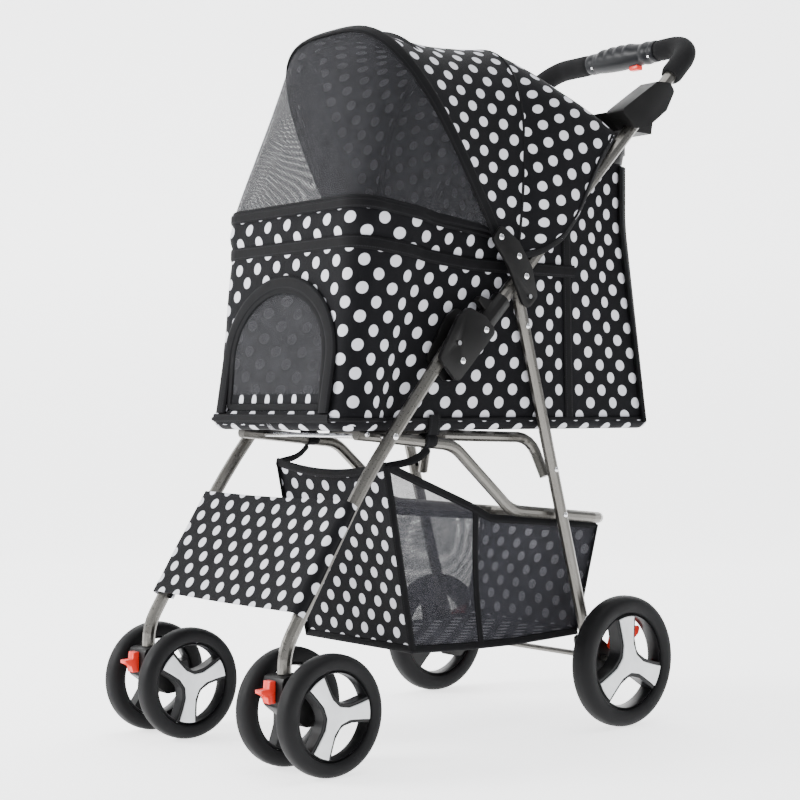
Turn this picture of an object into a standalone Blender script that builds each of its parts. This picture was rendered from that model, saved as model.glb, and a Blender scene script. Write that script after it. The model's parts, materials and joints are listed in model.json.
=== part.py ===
"""Four-wheel folding pet stroller, one object per physical piece.

Metres, +Z up. The stroller faces -Y, +X is its left side, and the origin is the
middle of the footprint on the floor.
"""

import math

import bmesh
import bpy
from mathutils import Matrix, Vector

# Wheels
FRONT_WHEEL_RADIUS = 0.0715
FRONT_WHEEL_WIDTH = 0.026
REAR_WHEEL_RADIUS = 0.0875
REAR_WHEEL_WIDTH = 0.030
FRONT_AXLE_Y = -0.318
SWIVEL_Y = -0.353
CASTER_X = 0.151
TWIN_OFFSET = 0.0407
REAR_AXLE_Y = 0.176
REAR_WHEEL_X = 0.1913
AXLE_RADIUS = 0.004

# Tubes: the planes that they lie in, and their radii
FRAME_X = 0.150
LEG_RADIUS = 0.0085
HANDLE_RADIUS = 0.009
REAR_LEG_X = 0.1432
REAR_LEG_RADIUS = 0.008
LINK_X = 0.1235
LINK_RADIUS = 0.0078
SEAT_X = 0.1055
SEAT_RADIUS = 0.0072
BOW_RADIUS = 0.0025

# Pivots of the fold, as (Y, Z)
FOLD_PIVOT = (-0.096, 0.508)
LINK_PIVOT = (-0.1922, 0.3915)
CANOPY_PIVOT = (-0.016, 0.6457)
HANDLE_ANGLE = math.radians(45.2)
HANDLE_OFFSET = 0.021
REAR_PIVOT_ALONG = 0.1326
REAR_PIVOT_BEHIND = 0.0225
REAR_LEG_LOW = (0.1702, 0.0620)
SEAT_PIVOT_Z = 0.3448
PIN_RADIUS = 0.003
PIN_CLEARANCE = 0.0003

# Handle bar
BAR_Y = 0.3745
BAR_Z = 0.9520
BAR_BEND = 0.045
FOAM_RADIUS = 0.0155
GRIP_HALF = 0.054
GAP = 0.0004

# Tray
TRAY_TOP = 0.8370
WELL_Y = 0.2565

# Carrier
FLOOR_Z = 0.4045
BOARD_THICK = 0.008
PAD_THICK = 0.016
FABRIC = 0.003
CARRIER_FRONT_Y = -0.264
CARRIER_REAR_Y = 0.302
RIM_Z = 0.680
REAR_WALL_TOP = 0.782
FRONT_SEAM_Y = -0.198

SIDES = {"left": 1.0, "right": -1.0}
UP = Vector((0, 0, 1))


def clear_scene():
    for obj in list(bpy.data.objects):
        bpy.data.objects.remove(obj, do_unlink=True)


def material(name, colour, roughness, metallic=0.0):
    """A Principled material, made once for each name."""
    if name in bpy.data.materials:
        return bpy.data.materials[name]
    made = bpy.data.materials.new(name)
    made.use_nodes = True
    shader = made.node_tree.nodes["Principled BSDF"]
    shader.inputs["Base Color"].default_value = (*colour, 1.0)
    shader.inputs["Roughness"].default_value = roughness
    shader.inputs["Metallic"].default_value = metallic
    return made


def painted():
    return material("painted_tube", (0.55, 0.54, 0.51), 0.35, 0.8)


def dark_plastic():
    return material("black_plastic", (0.02, 0.02, 0.022), 0.45)


def red_plastic():
    return material("red_plastic", (0.75, 0.03, 0.02), 0.4)


def silver_plastic():
    return material("silver_plastic", (0.78, 0.78, 0.8), 0.35)


def tyre_rubber():
    return material("tyre_rubber", (0.015, 0.015, 0.016), 0.6)


def foam():
    return material("black_foam", (0.02, 0.02, 0.02), 0.9)


def chrome():
    return material("rivet_steel", (0.75, 0.75, 0.75), 0.25, 1.0)


def dotted_cloth():
    return material("dotted_cloth", (0.03, 0.03, 0.035), 0.85)


def mesh_cloth():
    return material("mesh_cloth", (0.05, 0.05, 0.055), 0.8)


def board():
    return material("floor_board", (0.04, 0.04, 0.045), 0.8)


def add_mesh(name, points, faces, finish, origin=(0, 0, 0), smooth=True):
    """An object of these world points, with its origin where its joint's axis is."""
    start = Vector(origin)
    mesh = bpy.data.meshes.new(name)
    mesh.from_pydata([Vector(p) - start for p in points], [], faces)
    shape = bmesh.new()
    shape.from_mesh(mesh)
    bmesh.ops.recalc_face_normals(shape, faces=shape.faces)
    shape.to_mesh(mesh)
    shape.free()
    obj = bpy.data.objects.new(name, mesh)
    obj.location = start
    bpy.context.scene.collection.objects.link(obj)
    if finish:
        mesh.materials.append(finish)
    if smooth:
        mesh.shade_smooth()
        mesh.set_sharp_from_angle(angle=math.radians(40))
    return obj


def boolean(obj, tool, operation):
    """Cuts obj with tool, or joins them, and leaves tool as a hidden helper."""
    tool.hide_render = True
    tool.display_type = "WIRE"
    change = obj.modifiers.new(operation.title(), "BOOLEAN")
    change.operation = operation
    change.solver = "EXACT"
    change.object = tool


def handle_direction():
    return Vector((0, math.cos(HANDLE_ANGLE), math.sin(HANDLE_ANGLE)))


def handle_normal():
    """Across the handle tube, towards the rear and down."""
    return Vector((0, math.sin(HANDLE_ANGLE), -math.cos(HANDLE_ANGLE)))


def on_handle(along, behind=0.0, x=0.0):
    """A point by its distance along the handle tube from beside the fold pivot."""
    foot = Vector((x, *FOLD_PIVOT)) + handle_normal() * HANDLE_OFFSET
    return foot + handle_direction() * along + handle_normal() * behind


def rear_pivot(x=0.0):
    return on_handle(REAR_PIVOT_ALONG, REAR_PIVOT_BEHIND, x)


def on_rear_leg(z, x=REAR_LEG_X):
    """The rear leg's axis at height z."""
    top = rear_pivot()
    share = (top.z - z) / (top.z - REAR_LEG_LOW[1])
    return Vector((x, top.y + share * (REAR_LEG_LOW[0] - top.y), z))


def rounded(corners, radii, steps=4):
    """A path through corners, each turned on an arc of its radius (0 keeps it sharp)."""
    corners = [Vector(c) for c in corners]
    path = [corners[0]]
    for before, here, after, radius in zip(corners, corners[1:], corners[2:], radii):
        back = (before - here).normalized()
        on = (after - here).normalized()
        turn = math.pi - back.angle(on)
        if radius == 0 or turn < 1e-3:
            path.append(here)
            continue
        reach = radius * math.tan(turn / 2)
        middle = (back + on).normalized()
        centre = here + middle * (radius / math.cos(turn / 2))
        first = here + back * reach - centre
        axis = first.cross(here + on * reach - centre).normalized()
        for step in range(steps + 1):
            path.append(centre + Matrix.Rotation(turn * step / steps, 3, axis) @ first)
    path.append(corners[-1])
    return path


def rings_along(path, radius, sides):
    """Rings of points across a path, carried along it without twist."""
    ways = [(b - a).normalized() for a, b in zip(path, path[1:])]
    first = ways[0].orthogonal().normalized()
    rings = []
    for i, point in enumerate(path):
        before = ways[max(i - 1, 0)]
        after = ways[min(i, len(ways) - 1)]
        way = (before + after).normalized()
        first = (first - way * first.dot(way)).normalized()
        second = way.cross(first)
        spread = radius / max(before.dot(way), 0.5)
        rings.append(
            [
                point
                + first * (spread * math.cos(2 * math.pi * k / sides))
                + second * (spread * math.sin(2 * math.pi * k / sides))
                for k in range(sides)
            ]
        )
    return rings


def side_faces(ring_count, sides, start=0):
    """Quads between each ring and the next."""
    faces = []
    for i in range(ring_count - 1):
        for k in range(sides):
            a = start + i * sides + k
            b = start + i * sides + (k + 1) % sides
            faces.append((a, b, b + sides, a + sides))
    return faces


def tube(name, path, radius, finish, sides=12, origin=(0, 0, 0)):
    """A round bar along a path, closed at both ends."""
    rings = rings_along(path, radius, sides)
    points = [p for ring in rings for p in ring]
    faces = side_faces(len(rings), sides)
    faces.append(tuple(range(sides)))
    faces.append(tuple(range(len(points) - sides, len(points))))
    return add_mesh(name, points, faces, finish, origin)


def sleeve(name, path, inner, outer, finish, sides=12, origin=(0, 0, 0)):
    """A hollow sleeve along a path, open at both ends."""
    outside = rings_along(path, outer, sides)
    inside = rings_along(path, inner, sides)
    points = [p for ring in outside + inside for p in ring]
    count = len(outside) * sides
    faces = side_faces(len(outside), sides) + side_faces(len(inside), sides, count)
    for end in (0, count - sides):
        for k in range(sides):
            nxt = (k + 1) % sides
            faces.append((end + k, end + nxt, count + end + nxt, count + end + k))
    return add_mesh(name, points, faces, finish, origin)


def turned(name, profile, centre, finish, steps=28):
    """A ring turned about the X axis through centre, from (x, radius) points."""
    middle = Vector(centre)
    count = len(profile)
    points = []
    for step in range(steps):
        turn = 2 * math.pi * step / steps
        out = Vector((0, math.cos(turn), math.sin(turn)))
        points += [middle + Vector((x, 0, 0)) + out * r for x, r in profile]
    faces = []
    for step in range(steps):
        here = step * count
        there = (step + 1) % steps * count
        for k in range(count):
            nxt = (k + 1) % count
            faces.append((here + k, here + nxt, there + nxt, there + k))
    return add_mesh(name, points, faces, finish, centre)


def plate(name, outline, x_low, x_high, finish, origin=(0, 0, 0)):
    """A flat plate across X, from its (Y, Z) outline."""
    count = len(outline)
    points = [(x, y, z) for x in (x_low, x_high) for y, z in outline]
    faces = [tuple(range(count)), tuple(range(count, 2 * count))]
    for k in range(count):
        nxt = (k + 1) % count
        faces.append((k, nxt, count + nxt, count + k))
    return add_mesh(name, points, faces, finish, origin)


def smooth_outline(corners, radius, steps=3):
    """A closed (Y, Z) outline with each corner turned on an arc."""
    flat = [Vector((0, y, z)) for y, z in corners]
    doubled = [flat[-1], *flat, flat[0]]
    path = rounded(doubled, [radius] * len(flat), steps)
    return [(p.y, p.z) for p in path[1:-1]]


def rod(name, centre, radius, x_low, x_high, finish=None, sides=16):
    """A round bar along X."""
    y, z = centre
    ends = [Vector((x_low, y, z)), Vector((x_high, y, z))]
    return tube(name, ends, radius, finish, sides, (0, y, z))


def spans(low, high, count):
    return [low + (high - low) * k / count for k in range(count + 1)]


# Wheels and casters


def wheel_hub(name, x, y, z, outer, width, finish):
    """A rim and three spokes about a bored centre, as one flat moulding."""
    radii = [AXLE_RADIUS + 0.0006, outer * 0.26, outer * 0.82, outer]
    steps = 24
    half = width / 2
    cells = [(i, k) for i in range(3) for k in range(steps) if i != 1 or k % 8 in (0, 7)]
    solid = set(cells)
    points = []
    for side in (-half, half):
        for radius in radii:
            for k in range(steps):
                turn = 2 * math.pi * k / steps
                points.append(
                    (x + side, y + radius * math.cos(turn), z + radius * math.sin(turn))
                )

    def at(side, i, k):
        return side * len(radii) * steps + i * steps + k % steps

    faces = []
    for i, k in cells:
        for side in (0, 1):
            corners = [at(side, i, k), at(side, i, k + 1)]
            faces.append((*corners, at(side, i + 1, k + 1), at(side, i + 1, k)))
        if (i - 1, k) not in solid:
            faces.append((at(0, i, k), at(0, i, k + 1), at(1, i, k + 1), at(1, i, k)))
        if (i + 1, k) not in solid:
            j = i + 1
            faces.append((at(0, j, k), at(0, j, k + 1), at(1, j, k + 1), at(1, j, k)))
        if (i, (k - 1) % steps) not in solid:
            faces.append((at(0, i, k), at(0, i + 1, k), at(1, i + 1, k), at(1, i, k)))
        if (i, (k + 1) % steps) not in solid:
            m = k + 1
            faces.append((at(0, i, m), at(0, i + 1, m), at(1, i + 1, m), at(1, i, m)))
    return add_mesh(name, points, faces, finish, (x, y, z), smooth=False)


def wheel(name, x, y, radius, width):
    """A tyre and its hub, with a thin gap between them."""
    half = width / 2
    rim = radius * 0.74
    profile = [
        (-half, rim),
        (-half, radius * 0.90),
        (-half * 0.72, radius * 0.985),
        (0.0, radius),
        (half * 0.72, radius * 0.985),
        (half, radius * 0.90),
        (half, rim),
    ]
    turned(name + "_tyre", profile, (x, y, radius), tyre_rubber(), 24)
    wheel_hub(name + "_hub", x, y, radius, rim - GAP, width * 0.8, silver_plastic())


def caster(side, sign):
    """A twin-wheel caster: the swivelling housing, its axle, wheels and swivel lock."""
    x = sign * CASTER_X
    z = FRONT_WHEEL_RADIUS
    corners = [
        (SWIVEL_Y - 0.017, 0.1175),
        (SWIVEL_Y + 0.017, 0.1175),
        (FRONT_AXLE_Y + 0.006, 0.094),
        (FRONT_AXLE_Y + 0.017, 0.076),
        (FRONT_AXLE_Y + 0.010, 0.058),
        (FRONT_AXLE_Y - 0.018, 0.056),
        (SWIVEL_Y - 0.017, 0.082),
    ]
    outline = smooth_outline(corners, 0.007, 2)
    origin = (x, SWIVEL_Y, z)
    housing = plate(
        "caster_housing_" + side, outline, x - 0.019, x + 0.019, dark_plastic(), origin
    )
    centre = (FRONT_AXLE_Y, z)
    bore = rod("cut_caster_" + side, centre, AXLE_RADIUS + 0.0004, x - 0.03, x + 0.03)
    boolean(housing, bore, "DIFFERENCE")
    rod("caster_axle_" + side, centre, AXLE_RADIUS, x - 0.050, x + 0.050, chrome())
    for place, way in (("outer", sign), ("inner", -sign)):
        name = "front_" + place + "_wheel_" + side
        middle = x + way * TWIN_OFFSET
        wheel(name, middle, FRONT_AXLE_Y, FRONT_WHEEL_RADIUS, FRONT_WHEEL_WIDTH)
    front = SWIVEL_Y - 0.0175
    tab = [
        (front, 0.0865),
        (front - 0.009, 0.0865),
        (front - 0.011, 0.094),
        (front - 0.020, 0.099),
        (front - 0.020, 0.103),
        (front - 0.009, 0.1035),
        (front - 0.008, 0.1125),
        (front, 0.1125),
    ]
    plate("swivel_lock_" + side, tab, x - 0.0065, x + 0.0065, red_plastic(), origin)


# Frame


def front_leg(side, sign):
    x = sign * FRAME_X
    way = Vector((0, 0.6561, 0.7547))
    top = Vector((x, *FOLD_PIVOT)) + way * 0.0065
    corners = [
        (x, SWIVEL_Y, 0.1183),
        (x, SWIVEL_Y, 0.1440),
        (x, -0.2370, 0.3366),
        top,
    ]
    path = rounded(corners, [0.070, 0.9], 4)
    leg = tube("front_leg_" + side, path, LEG_RADIUS, painted())
    for label, centre in (("fold", FOLD_PIVOT), ("link", LINK_PIVOT)):
        name = "cut_leg_" + label + "_" + side
        low, high = sorted((x - sign * 0.02, x + sign * 0.02))
        boolean(leg, rod(name, centre, PIN_RADIUS + PIN_CLEARANCE, low, high), "DIFFERENCE")
    low, high = sorted((sign * 0.1365, sign * 0.1685))
    rod("fold_pin_" + side, FOLD_PIVOT, PIN_RADIUS, low, high, chrome(), 12)


def handle_tube():
    """The handle: both side tubes and the bar across, bent from one length."""
    low = on_handle(-0.018)
    corners = [
        (FRAME_X, low.y, low.z),
        (FRAME_X, BAR_Y, BAR_Z),
        (-FRAME_X, BAR_Y, BAR_Z),
        (-FRAME_X, low.y, low.z),
    ]
    tube("handle_tube", rounded(corners, [BAR_BEND] * 2, 6), HANDLE_RADIUS, painted())


def foam_grip(side, sign):
    """Foam over the bend between the tray and the middle of the bar."""
    start = Vector((FRAME_X, BAR_Y, BAR_Z)) - handle_direction() * 0.078
    corners = [start, (FRAME_X, BAR_Y, BAR_Z), (GRIP_HALF + 0.0005, BAR_Y, BAR_Z)]
    path = rounded(corners, [BAR_BEND], 6)
    path = [Vector((sign * p.x, p.y, p.z)) for p in path]
    sleeve("foam_grip_" + side, path, HANDLE_RADIUS + GAP, FOAM_RADIUS, foam())


def centre_grip():
    """The plastic grip on the middle of the bar, with a pocket for the button."""
    path = [Vector((x, BAR_Y, BAR_Z)) for x in (-GRIP_HALF, 0, GRIP_HALF)]
    grip = sleeve("centre_grip", path, HANDLE_RADIUS + GAP, 0.0165, dark_plastic(), 16)
    pocket = plate(
        "cut_button",
        smooth_outline(
            [
                (BAR_Y - 0.0065, BAR_Z - 0.030),
                (BAR_Y + 0.0065, BAR_Z - 0.030),
                (BAR_Y + 0.0065, BAR_Z - 0.0100),
                (BAR_Y - 0.0065, BAR_Z - 0.0100),
            ],
            0.001,
            1,
        ),
        0.0265,
        0.0435,
        None,
    )
    boolean(grip, pocket, "DIFFERENCE")
    outline = smooth_outline(
        [
            (BAR_Y - 0.006, BAR_Z - 0.0225),
            (BAR_Y + 0.006, BAR_Z - 0.0225),
            (BAR_Y + 0.006, BAR_Z - 0.0145),
            (BAR_Y - 0.006, BAR_Z - 0.0145),
        ],
        0.002,
        2,
    )
    origin = (0.035, BAR_Y, BAR_Z - 0.0185)
    plate("release_button", outline, 0.027, 0.043, red_plastic(), origin)


def fold_bracket(side, sign):
    """The two cheeks and rear web that carry the fold pivot, fixed to the handle."""
    shape = [
        (-0.036, 0.0140),
        (-0.036, -0.0290),
        (0.026, -0.0440),
        (0.046, -0.0400),
        (0.058, -0.0120),
        (0.058, 0.0140),
    ]
    corners = [(p.y, p.z) for p in (on_handle(a, b) for a, b in shape)]
    outline = smooth_outline(corners, 0.008, 3)
    low, high = sorted((sign * 0.1377, sign * 0.1655))
    bracket = plate("fold_bracket_" + side, outline, low, high, dark_plastic())
    channel = [(-0.08, -0.08), (0.09, -0.08), (0.09, 0.0104), (-0.08, 0.0104)]
    corners = [(p.y, p.z) for p in (on_handle(a, b) for a, b in channel)]
    low, high = sorted((sign * 0.1405, sign * 0.1595))
    boolean(bracket, plate("cut_channel_" + side, corners, low, high, None), "DIFFERENCE")
    low, high = sorted((sign * 0.13, sign * 0.18))
    bore = rod(
        "cut_bracket_" + side, FOLD_PIVOT, PIN_RADIUS + PIN_CLEARANCE, low, high
    )
    boolean(bracket, bore, "DIFFERENCE")


def lock_sleeve(side, sign):
    """The sleeve that slides on the handle tube to lock and free the fold."""
    x = sign * FRAME_X
    path = [on_handle(a, 0, x) for a in (0.0590, 0.0640, 0.0980, 0.1030)]
    origin = on_handle(0.081, 0, x)
    sleeve_body = sleeve(
        "lock_sleeve_" + side, path, HANDLE_RADIUS + GAP, 0.0135, dark_plastic(), 12, origin
    )
    knob = [(0.070, -0.0115), (0.070, -0.0300), (0.078, -0.0300), (0.088, -0.0115)]
    corners = [(p.y, p.z) for p in (on_handle(a, b) for a, b in knob)]
    low, high = sorted((sign * 0.145, sign * 0.155))
    boolean(sleeve_body, plate("join_knob_" + side, corners, low, high, None), "UNION")


def side_bracket(side, sign):
    """The plate on the handle that carries the rear leg and the canopy."""
    shape = [
        (0.122, 0.033),
        (0.117, 0.022),
        (0.133, -0.030),
        (0.138, -0.074),
        (0.162, -0.076),
        (0.170, -0.040),
        (0.163, 0.000),
        (0.143, 0.033),
    ]
    corners = [(p.y, p.z) for p in (on_handle(a, b) for a, b in shape)]
    low, high = sorted((sign * 0.1607, sign * 0.1650))
    bracket = plate(
        "side_bracket_" + side, smooth_outline(corners, 0.006, 3), low, high, dark_plastic()
    )
    top = rear_pivot()
    centre = (top.y, top.z)
    low, high = sorted((sign * 0.155, sign * 0.175))
    bore = rod("cut_side_" + side, centre, PIN_RADIUS + PIN_CLEARANCE, low, high)
    boolean(bracket, bore, "DIFFERENCE")
    low, high = sorted((sign * 0.1350, sign * 0.1670))
    rod("rear_leg_pin_" + side, centre, PIN_RADIUS, low, high, chrome(), 12)


def rear_leg(side, sign):
    x = sign * REAR_LEG_X
    top = rear_pivot(x)
    low = on_rear_leg(REAR_LEG_LOW[1], x)
    way = (top - low).normalized()
    leg = tube("rear_leg_" + side, [low, top + way * 0.010], REAR_LEG_RADIUS, painted())
    for label, z in (("top", top.z), ("seat", SEAT_PIVOT_Z)):
        place = on_rear_leg(z)
        low_x, high_x = sorted((x - sign * 0.02, x + sign * 0.02))
        bore = rod(
            "cut_rear_" + label + "_" + side,
            (place.y, place.z),
            PIN_RADIUS + PIN_CLEARANCE,
            low_x,
            high_x,
        )
        boolean(leg, bore, "DIFFERENCE")


def axle_bracket(side, sign):
    """The moulding that clamps the foot of the rear leg and the axle."""
    foot = on_rear_leg(0.066)
    head = on_rear_leg(0.118)
    corners = [
        (foot.y - 0.014, foot.z - 0.006),
        (head.y - 0.013, head.z),
        (head.y + 0.011, head.z + 0.002),
        (REAR_AXLE_Y + 0.014, 0.102),
        (REAR_AXLE_Y + 0.014, 0.070),
        (REAR_AXLE_Y - 0.004, foot.z - 0.008),
    ]
    low, high = sorted((sign * 0.1320, sign * 0.1545))
    bracket = plate(
        "axle_bracket_" + side, smooth_outline(corners, 0.005, 2), low, high, dark_plastic()
    )
    x = sign * REAR_LEG_X
    leg_path = [on_rear_leg(REAR_LEG_LOW[1] - 0.0006, x), on_rear_leg(0.16, x)]
    socket = tube("cut_leg_socket_" + side, leg_path, REAR_LEG_RADIUS + GAP, None)
    boolean(bracket, socket, "DIFFERENCE")
    low, high = sorted((sign * 0.12, sign * 0.17))
    centre = (REAR_AXLE_Y, REAR_WHEEL_RADIUS)
    bore = rod("cut_axle_" + side, centre, AXLE_RADIUS + 0.0004, low, high)
    boolean(bracket, bore, "DIFFERENCE")


def brake_lever(side, sign):
    """The foot lever that locks a rear wheel."""
    corners = [
        (0.1830, 0.1020),
        (0.1930, 0.0945),
        (0.2270, 0.1180),
        (0.2300, 0.1290),
        (0.2170, 0.1280),
        (0.1880, 0.1180),
    ]
    low, high = sorted((sign * 0.1555, sign * 0.1735))
    origin = (0, *BRAKE_PIVOT)
    outline = smooth_outline(corners, 0.003, 2)
    plate("brake_lever_" + side, outline, low, high, red_plastic(), origin)


BRAKE_PIVOT = (0.190, 0.108)


def lower_link_tube():
    """The tube under the carrier, which holds the basket and turns on both legs."""
    half = [
        (LINK_X, -0.2264, 0.3945),
        (LINK_X, *LINK_PIVOT),
        (LINK_X, -0.0680, 0.3790),
        (LINK_X, 0.0340, 0.2915),
        (LINK_X, 0.2170, 0.2735),
    ]
    far = [(-x, y, z) for x, y, z in reversed(half)]
    radii = [0, 0.050, 0.050, 0.030, 0.030, 0.050, 0.050, 0]
    path = rounded(half + far, radii, 4)
    link = tube("lower_link_tube", path, LINK_RADIUS, painted())
    for side, sign in SIDES.items():
        low, high = sorted((sign * 0.10, sign * 0.14))
        name = "cut_link_" + side
        bore = rod(name, LINK_PIVOT, PIN_RADIUS + PIN_CLEARANCE, low, high)
        boolean(link, bore, "DIFFERENCE")


def seat_frame_tube():
    """The tube that the carrier sits on, hung from the rear legs."""
    end = on_rear_leg(SEAT_PIVOT_Z - 0.010, 0.1262)
    half = [
        (SEAT_X, -0.100, 0.3925),
        (SEAT_X, 0.0860, 0.3868),
        tuple(end),
    ]
    far = [(-x, y, z) for x, y, z in reversed(half)]
    path = rounded(list(reversed(half)) + list(reversed(far)), [0.026, 0.03, 0.03, 0.026], 4)
    tube("seat_frame_tube", path, SEAT_RADIUS, painted())


def frame():
    for side, sign in SIDES.items():
        front_leg(side, sign)
        foam_grip(side, sign)
        fold_bracket(side, sign)
        lock_sleeve(side, sign)
        side_bracket(side, sign)
        rear_leg(side, sign)
        axle_bracket(side, sign)
        brake_lever(side, sign)
    rod("link_cross_rod", LINK_PIVOT, PIN_RADIUS, -0.1600, 0.1600, chrome(), 12)
    handle_tube()
    centre_grip()
    lower_link_tube()
    seat_frame_tube()


# Tray


def upright(name, x, y, radius, z_low, z_high, sides=24):
    """A round bar along Z."""
    ends = [Vector((x, y, z_low)), Vector((x, y, z_high))]
    return tube(name, ends, radius, None, sides)


def parent_tray():
    """The tray across the handle, with two cup wells and an arm round each tube."""
    section = [
        (0.2130, TRAY_TOP),
        (0.3000, TRAY_TOP),
        (0.2960, 0.8140),
        (0.2360, 0.8140),
    ]
    tray = plate("parent_tray", section, -0.1360, 0.1360, dark_plastic())
    for side, sign in SIDES.items():
        x = sign * 0.070
        boolean(tray, upright("join_well_" + side, x, WELL_Y, 0.0385, 0.787, 0.825), "UNION")
        shape = [
            (0.4414, -0.0385),
            (0.4852, -0.0296),
            (0.5284, -0.0202),
            (0.5480, -0.0020),
            (0.5466, 0.0119),
            (0.5144, 0.0203),
            (0.4715, 0.0130),
            (0.4470, -0.0020),
        ]
        corners = [(p.y, p.z) for p in (on_handle(a, b) for a, b in shape)]
        outline = smooth_outline(corners, 0.005, 2)
        low, high = sorted((sign * 0.1335, sign * 0.1650))
        boolean(tray, plate("join_arm_" + side, outline, low, high, None), "UNION")
        well = upright("cut_well_" + side, x, WELL_Y, 0.0365, 0.7900, 0.86)
        boolean(tray, well, "DIFFERENCE")
        x = sign * FRAME_X
        ends = [on_handle(0.40, 0, x), on_handle(0.60, 0, x)]
        bore = tube("cut_arm_" + side, ends, HANDLE_RADIUS + 0.0006, None, 14)
        boolean(tray, bore, "DIFFERENCE")
    hollow = [
        (WELL_Y - 0.036, TRAY_TOP + 0.01),
        (WELL_Y + 0.036, TRAY_TOP + 0.01),
        (WELL_Y + 0.032, TRAY_TOP - 0.006),
        (WELL_Y - 0.028, TRAY_TOP - 0.006),
    ]
    boolean(tray, plate("cut_tray", hollow, -0.129, 0.129, None), "DIFFERENCE")


# Soft goods


def sheet_between(name, low, high, finish, thick, inward, origin=(0, 0, 0), rows=1):
    """A closed sheet ruled from one edge to another, thickened towards inward."""
    count = len(low)
    outer = []
    for row in range(rows + 1):
        share = row / rows
        outer += [Vector(a).lerp(Vector(b), share) for a, b in zip(low, high)]
    inner = [p + inward(p).normalized() * thick for p in outer]
    return grid_solid(name, outer, inner, rows + 1, count, finish, origin)


def grid_solid(name, outer, inner, rows, count, finish, origin=(0, 0, 0)):
    """The solid between two grids of points, each of rows by count."""
    points = outer + inner
    shift = len(outer)
    faces = []
    for i in range(rows - 1):
        for k in range(count - 1):
            a = i * count + k
            quad = (a, a + 1, a + 1 + count, a + count)
            faces.append(quad)
            faces.append(tuple(shift + q for q in quad))
    rim = [k for k in range(count)]
    rim += [i * count + count - 1 for i in range(1, rows)]
    rim += [(rows - 1) * count + k for k in range(count - 2, -1, -1)]
    rim += [i * count for i in range(rows - 2, 0, -1)]
    for a, b in zip(rim, rim[1:] + rim[:1]):
        faces.append((a, b, shift + b, shift + a))
    return add_mesh(name, points, faces, finish, origin)


def front_y(z):
    """The carrier's front leans back as it rises."""
    share = (z - FLOOR_Z) / (RIM_Z - FLOOR_Z)
    return CARRIER_FRONT_Y + 0.028 * share


def rear_y(z):
    share = min((z - FLOOR_Z) / (RIM_Z - FLOOR_Z), 1.0)
    return CARRIER_REAR_Y - 0.046 * share


def plan_x(y, z=FLOOR_Z):
    """Half the carrier's width: fullest before the front legs, then between the tubes."""
    full, between = 0.1470, 0.1345
    start = 0.3 * (z - FLOOR_Z) - 0.228
    share = min(max((y - start) / 0.045, 0.0), 1.0)
    ease = share * share * (3 - 2 * share)
    return full + (between - full) * ease


def front_wall_edge(z):
    """The front wall's outer edge at height z, round both corners."""
    front = front_y(z)
    radius = 0.030
    arc = [math.radians(a) for a in spans(0, 90, 4)]
    wide = plan_x(-1)
    near = [
        Vector((wide - radius + radius * math.cos(a), front + radius - radius * math.sin(a), z))
        for a in arc
    ]
    for y in ((front + radius + FRONT_SEAM_Y) / 2, FRONT_SEAM_Y):
        near.insert(0, Vector((plan_x(y, z), y, z)))
    far = [Vector((-p.x, p.y, p.z)) for p in reversed(near)]
    return near + far


def rear_wall_edge(z):
    """The rear wall's outer edge at height z, round both corners."""
    rear = rear_y(z)
    radius = 0.030
    wide = plan_x(1)
    arc = [math.radians(a) for a in spans(0, 90, 3)]
    near = [
        Vector((wide - radius + radius * math.cos(a), rear - radius + radius * math.sin(a), z))
        for a in arc
    ]
    far = [Vector((-p.x, p.y, p.z)) for p in reversed(near)]
    return near + far


def inset(row, thick):
    """A level row of points moved inwards, square to the row."""
    moved = []
    for i, point in enumerate(row):
        along = row[min(i + 1, len(row) - 1)] - row[max(i - 1, 0)]
        across = Vector((-along.y, along.x, 0)).normalized()
        if across.dot(Vector((0, 0.02, 0)) - point) < 0:
            across = -across
        moved.append(point + across * thick)
    return moved


def wall(name, rows, finish):
    """A cloth wall through level rows of points on its outer face."""
    outer = [p for row in rows for p in row]
    inner = [p for row in rows for p in inset(row, FABRIC)]
    return grid_solid(name, outer, inner, len(rows), len(rows[0]), finish)


def carrier_front_wall():
    rows = [front_wall_edge(z) for z in spans(FLOOR_Z, RIM_Z, 2)]
    front = wall("carrier_front_wall", rows, dotted_cloth())
    boolean(front, door_shape("cut_door", 0.0, -0.32, -0.20), "DIFFERENCE")


def door_points(shrink):
    """The door's outline as (X, Z): straight sides under a round top."""
    half, low, spring = 0.100 - shrink, 0.424 + shrink, 0.490
    rise = 0.082 - shrink
    arc = [math.radians(a) for a in spans(0, 180, 10)]
    points = [(-half, low), (half, low)]
    return points + [(half * math.cos(a), spring + rise * math.sin(a)) for a in arc]


def door_shape(name, shrink, y_front, y_back, finish=None, lean=False, origin=(0, 0, 0)):
    outline = door_points(shrink)
    points = []
    for back in (0, 1):
        for x, z in outline:
            y = (y_front, y_back)[back]
            if lean:
                y += front_y(z)
            points.append((x, y, z))
    count = len(outline)
    faces = [tuple(range(count)), tuple(range(count, 2 * count))]
    for k in range(count):
        nxt = (k + 1) % count
        faces.append((k, nxt, count + nxt, count + k))
    return add_mesh(name, points, faces, finish, origin)


def door_flap():
    """The zipped mesh door, hinged along its lower edge."""
    origin = (0, front_y(0.426), 0.426)
    door_shape("door_flap", 0.0012, 0.0004, 0.0024, mesh_cloth(), True, origin)


def side_top(y):
    """The upper edge of a side wall: down to the canopy pivot, then up the handle."""
    pivot_y = CANOPY_PIVOT[0]
    if y < pivot_y:
        share = (y - CARRIER_FRONT_Y) / (pivot_y - CARRIER_FRONT_Y)
        return RIM_Z - 0.024 * share
    tube_z = on_handle(0).z + (y - on_handle(0).y) * math.tan(HANDLE_ANGLE)
    return min(max(RIM_Z - 0.024, tube_z - 0.002), REAR_WALL_TOP)


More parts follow.
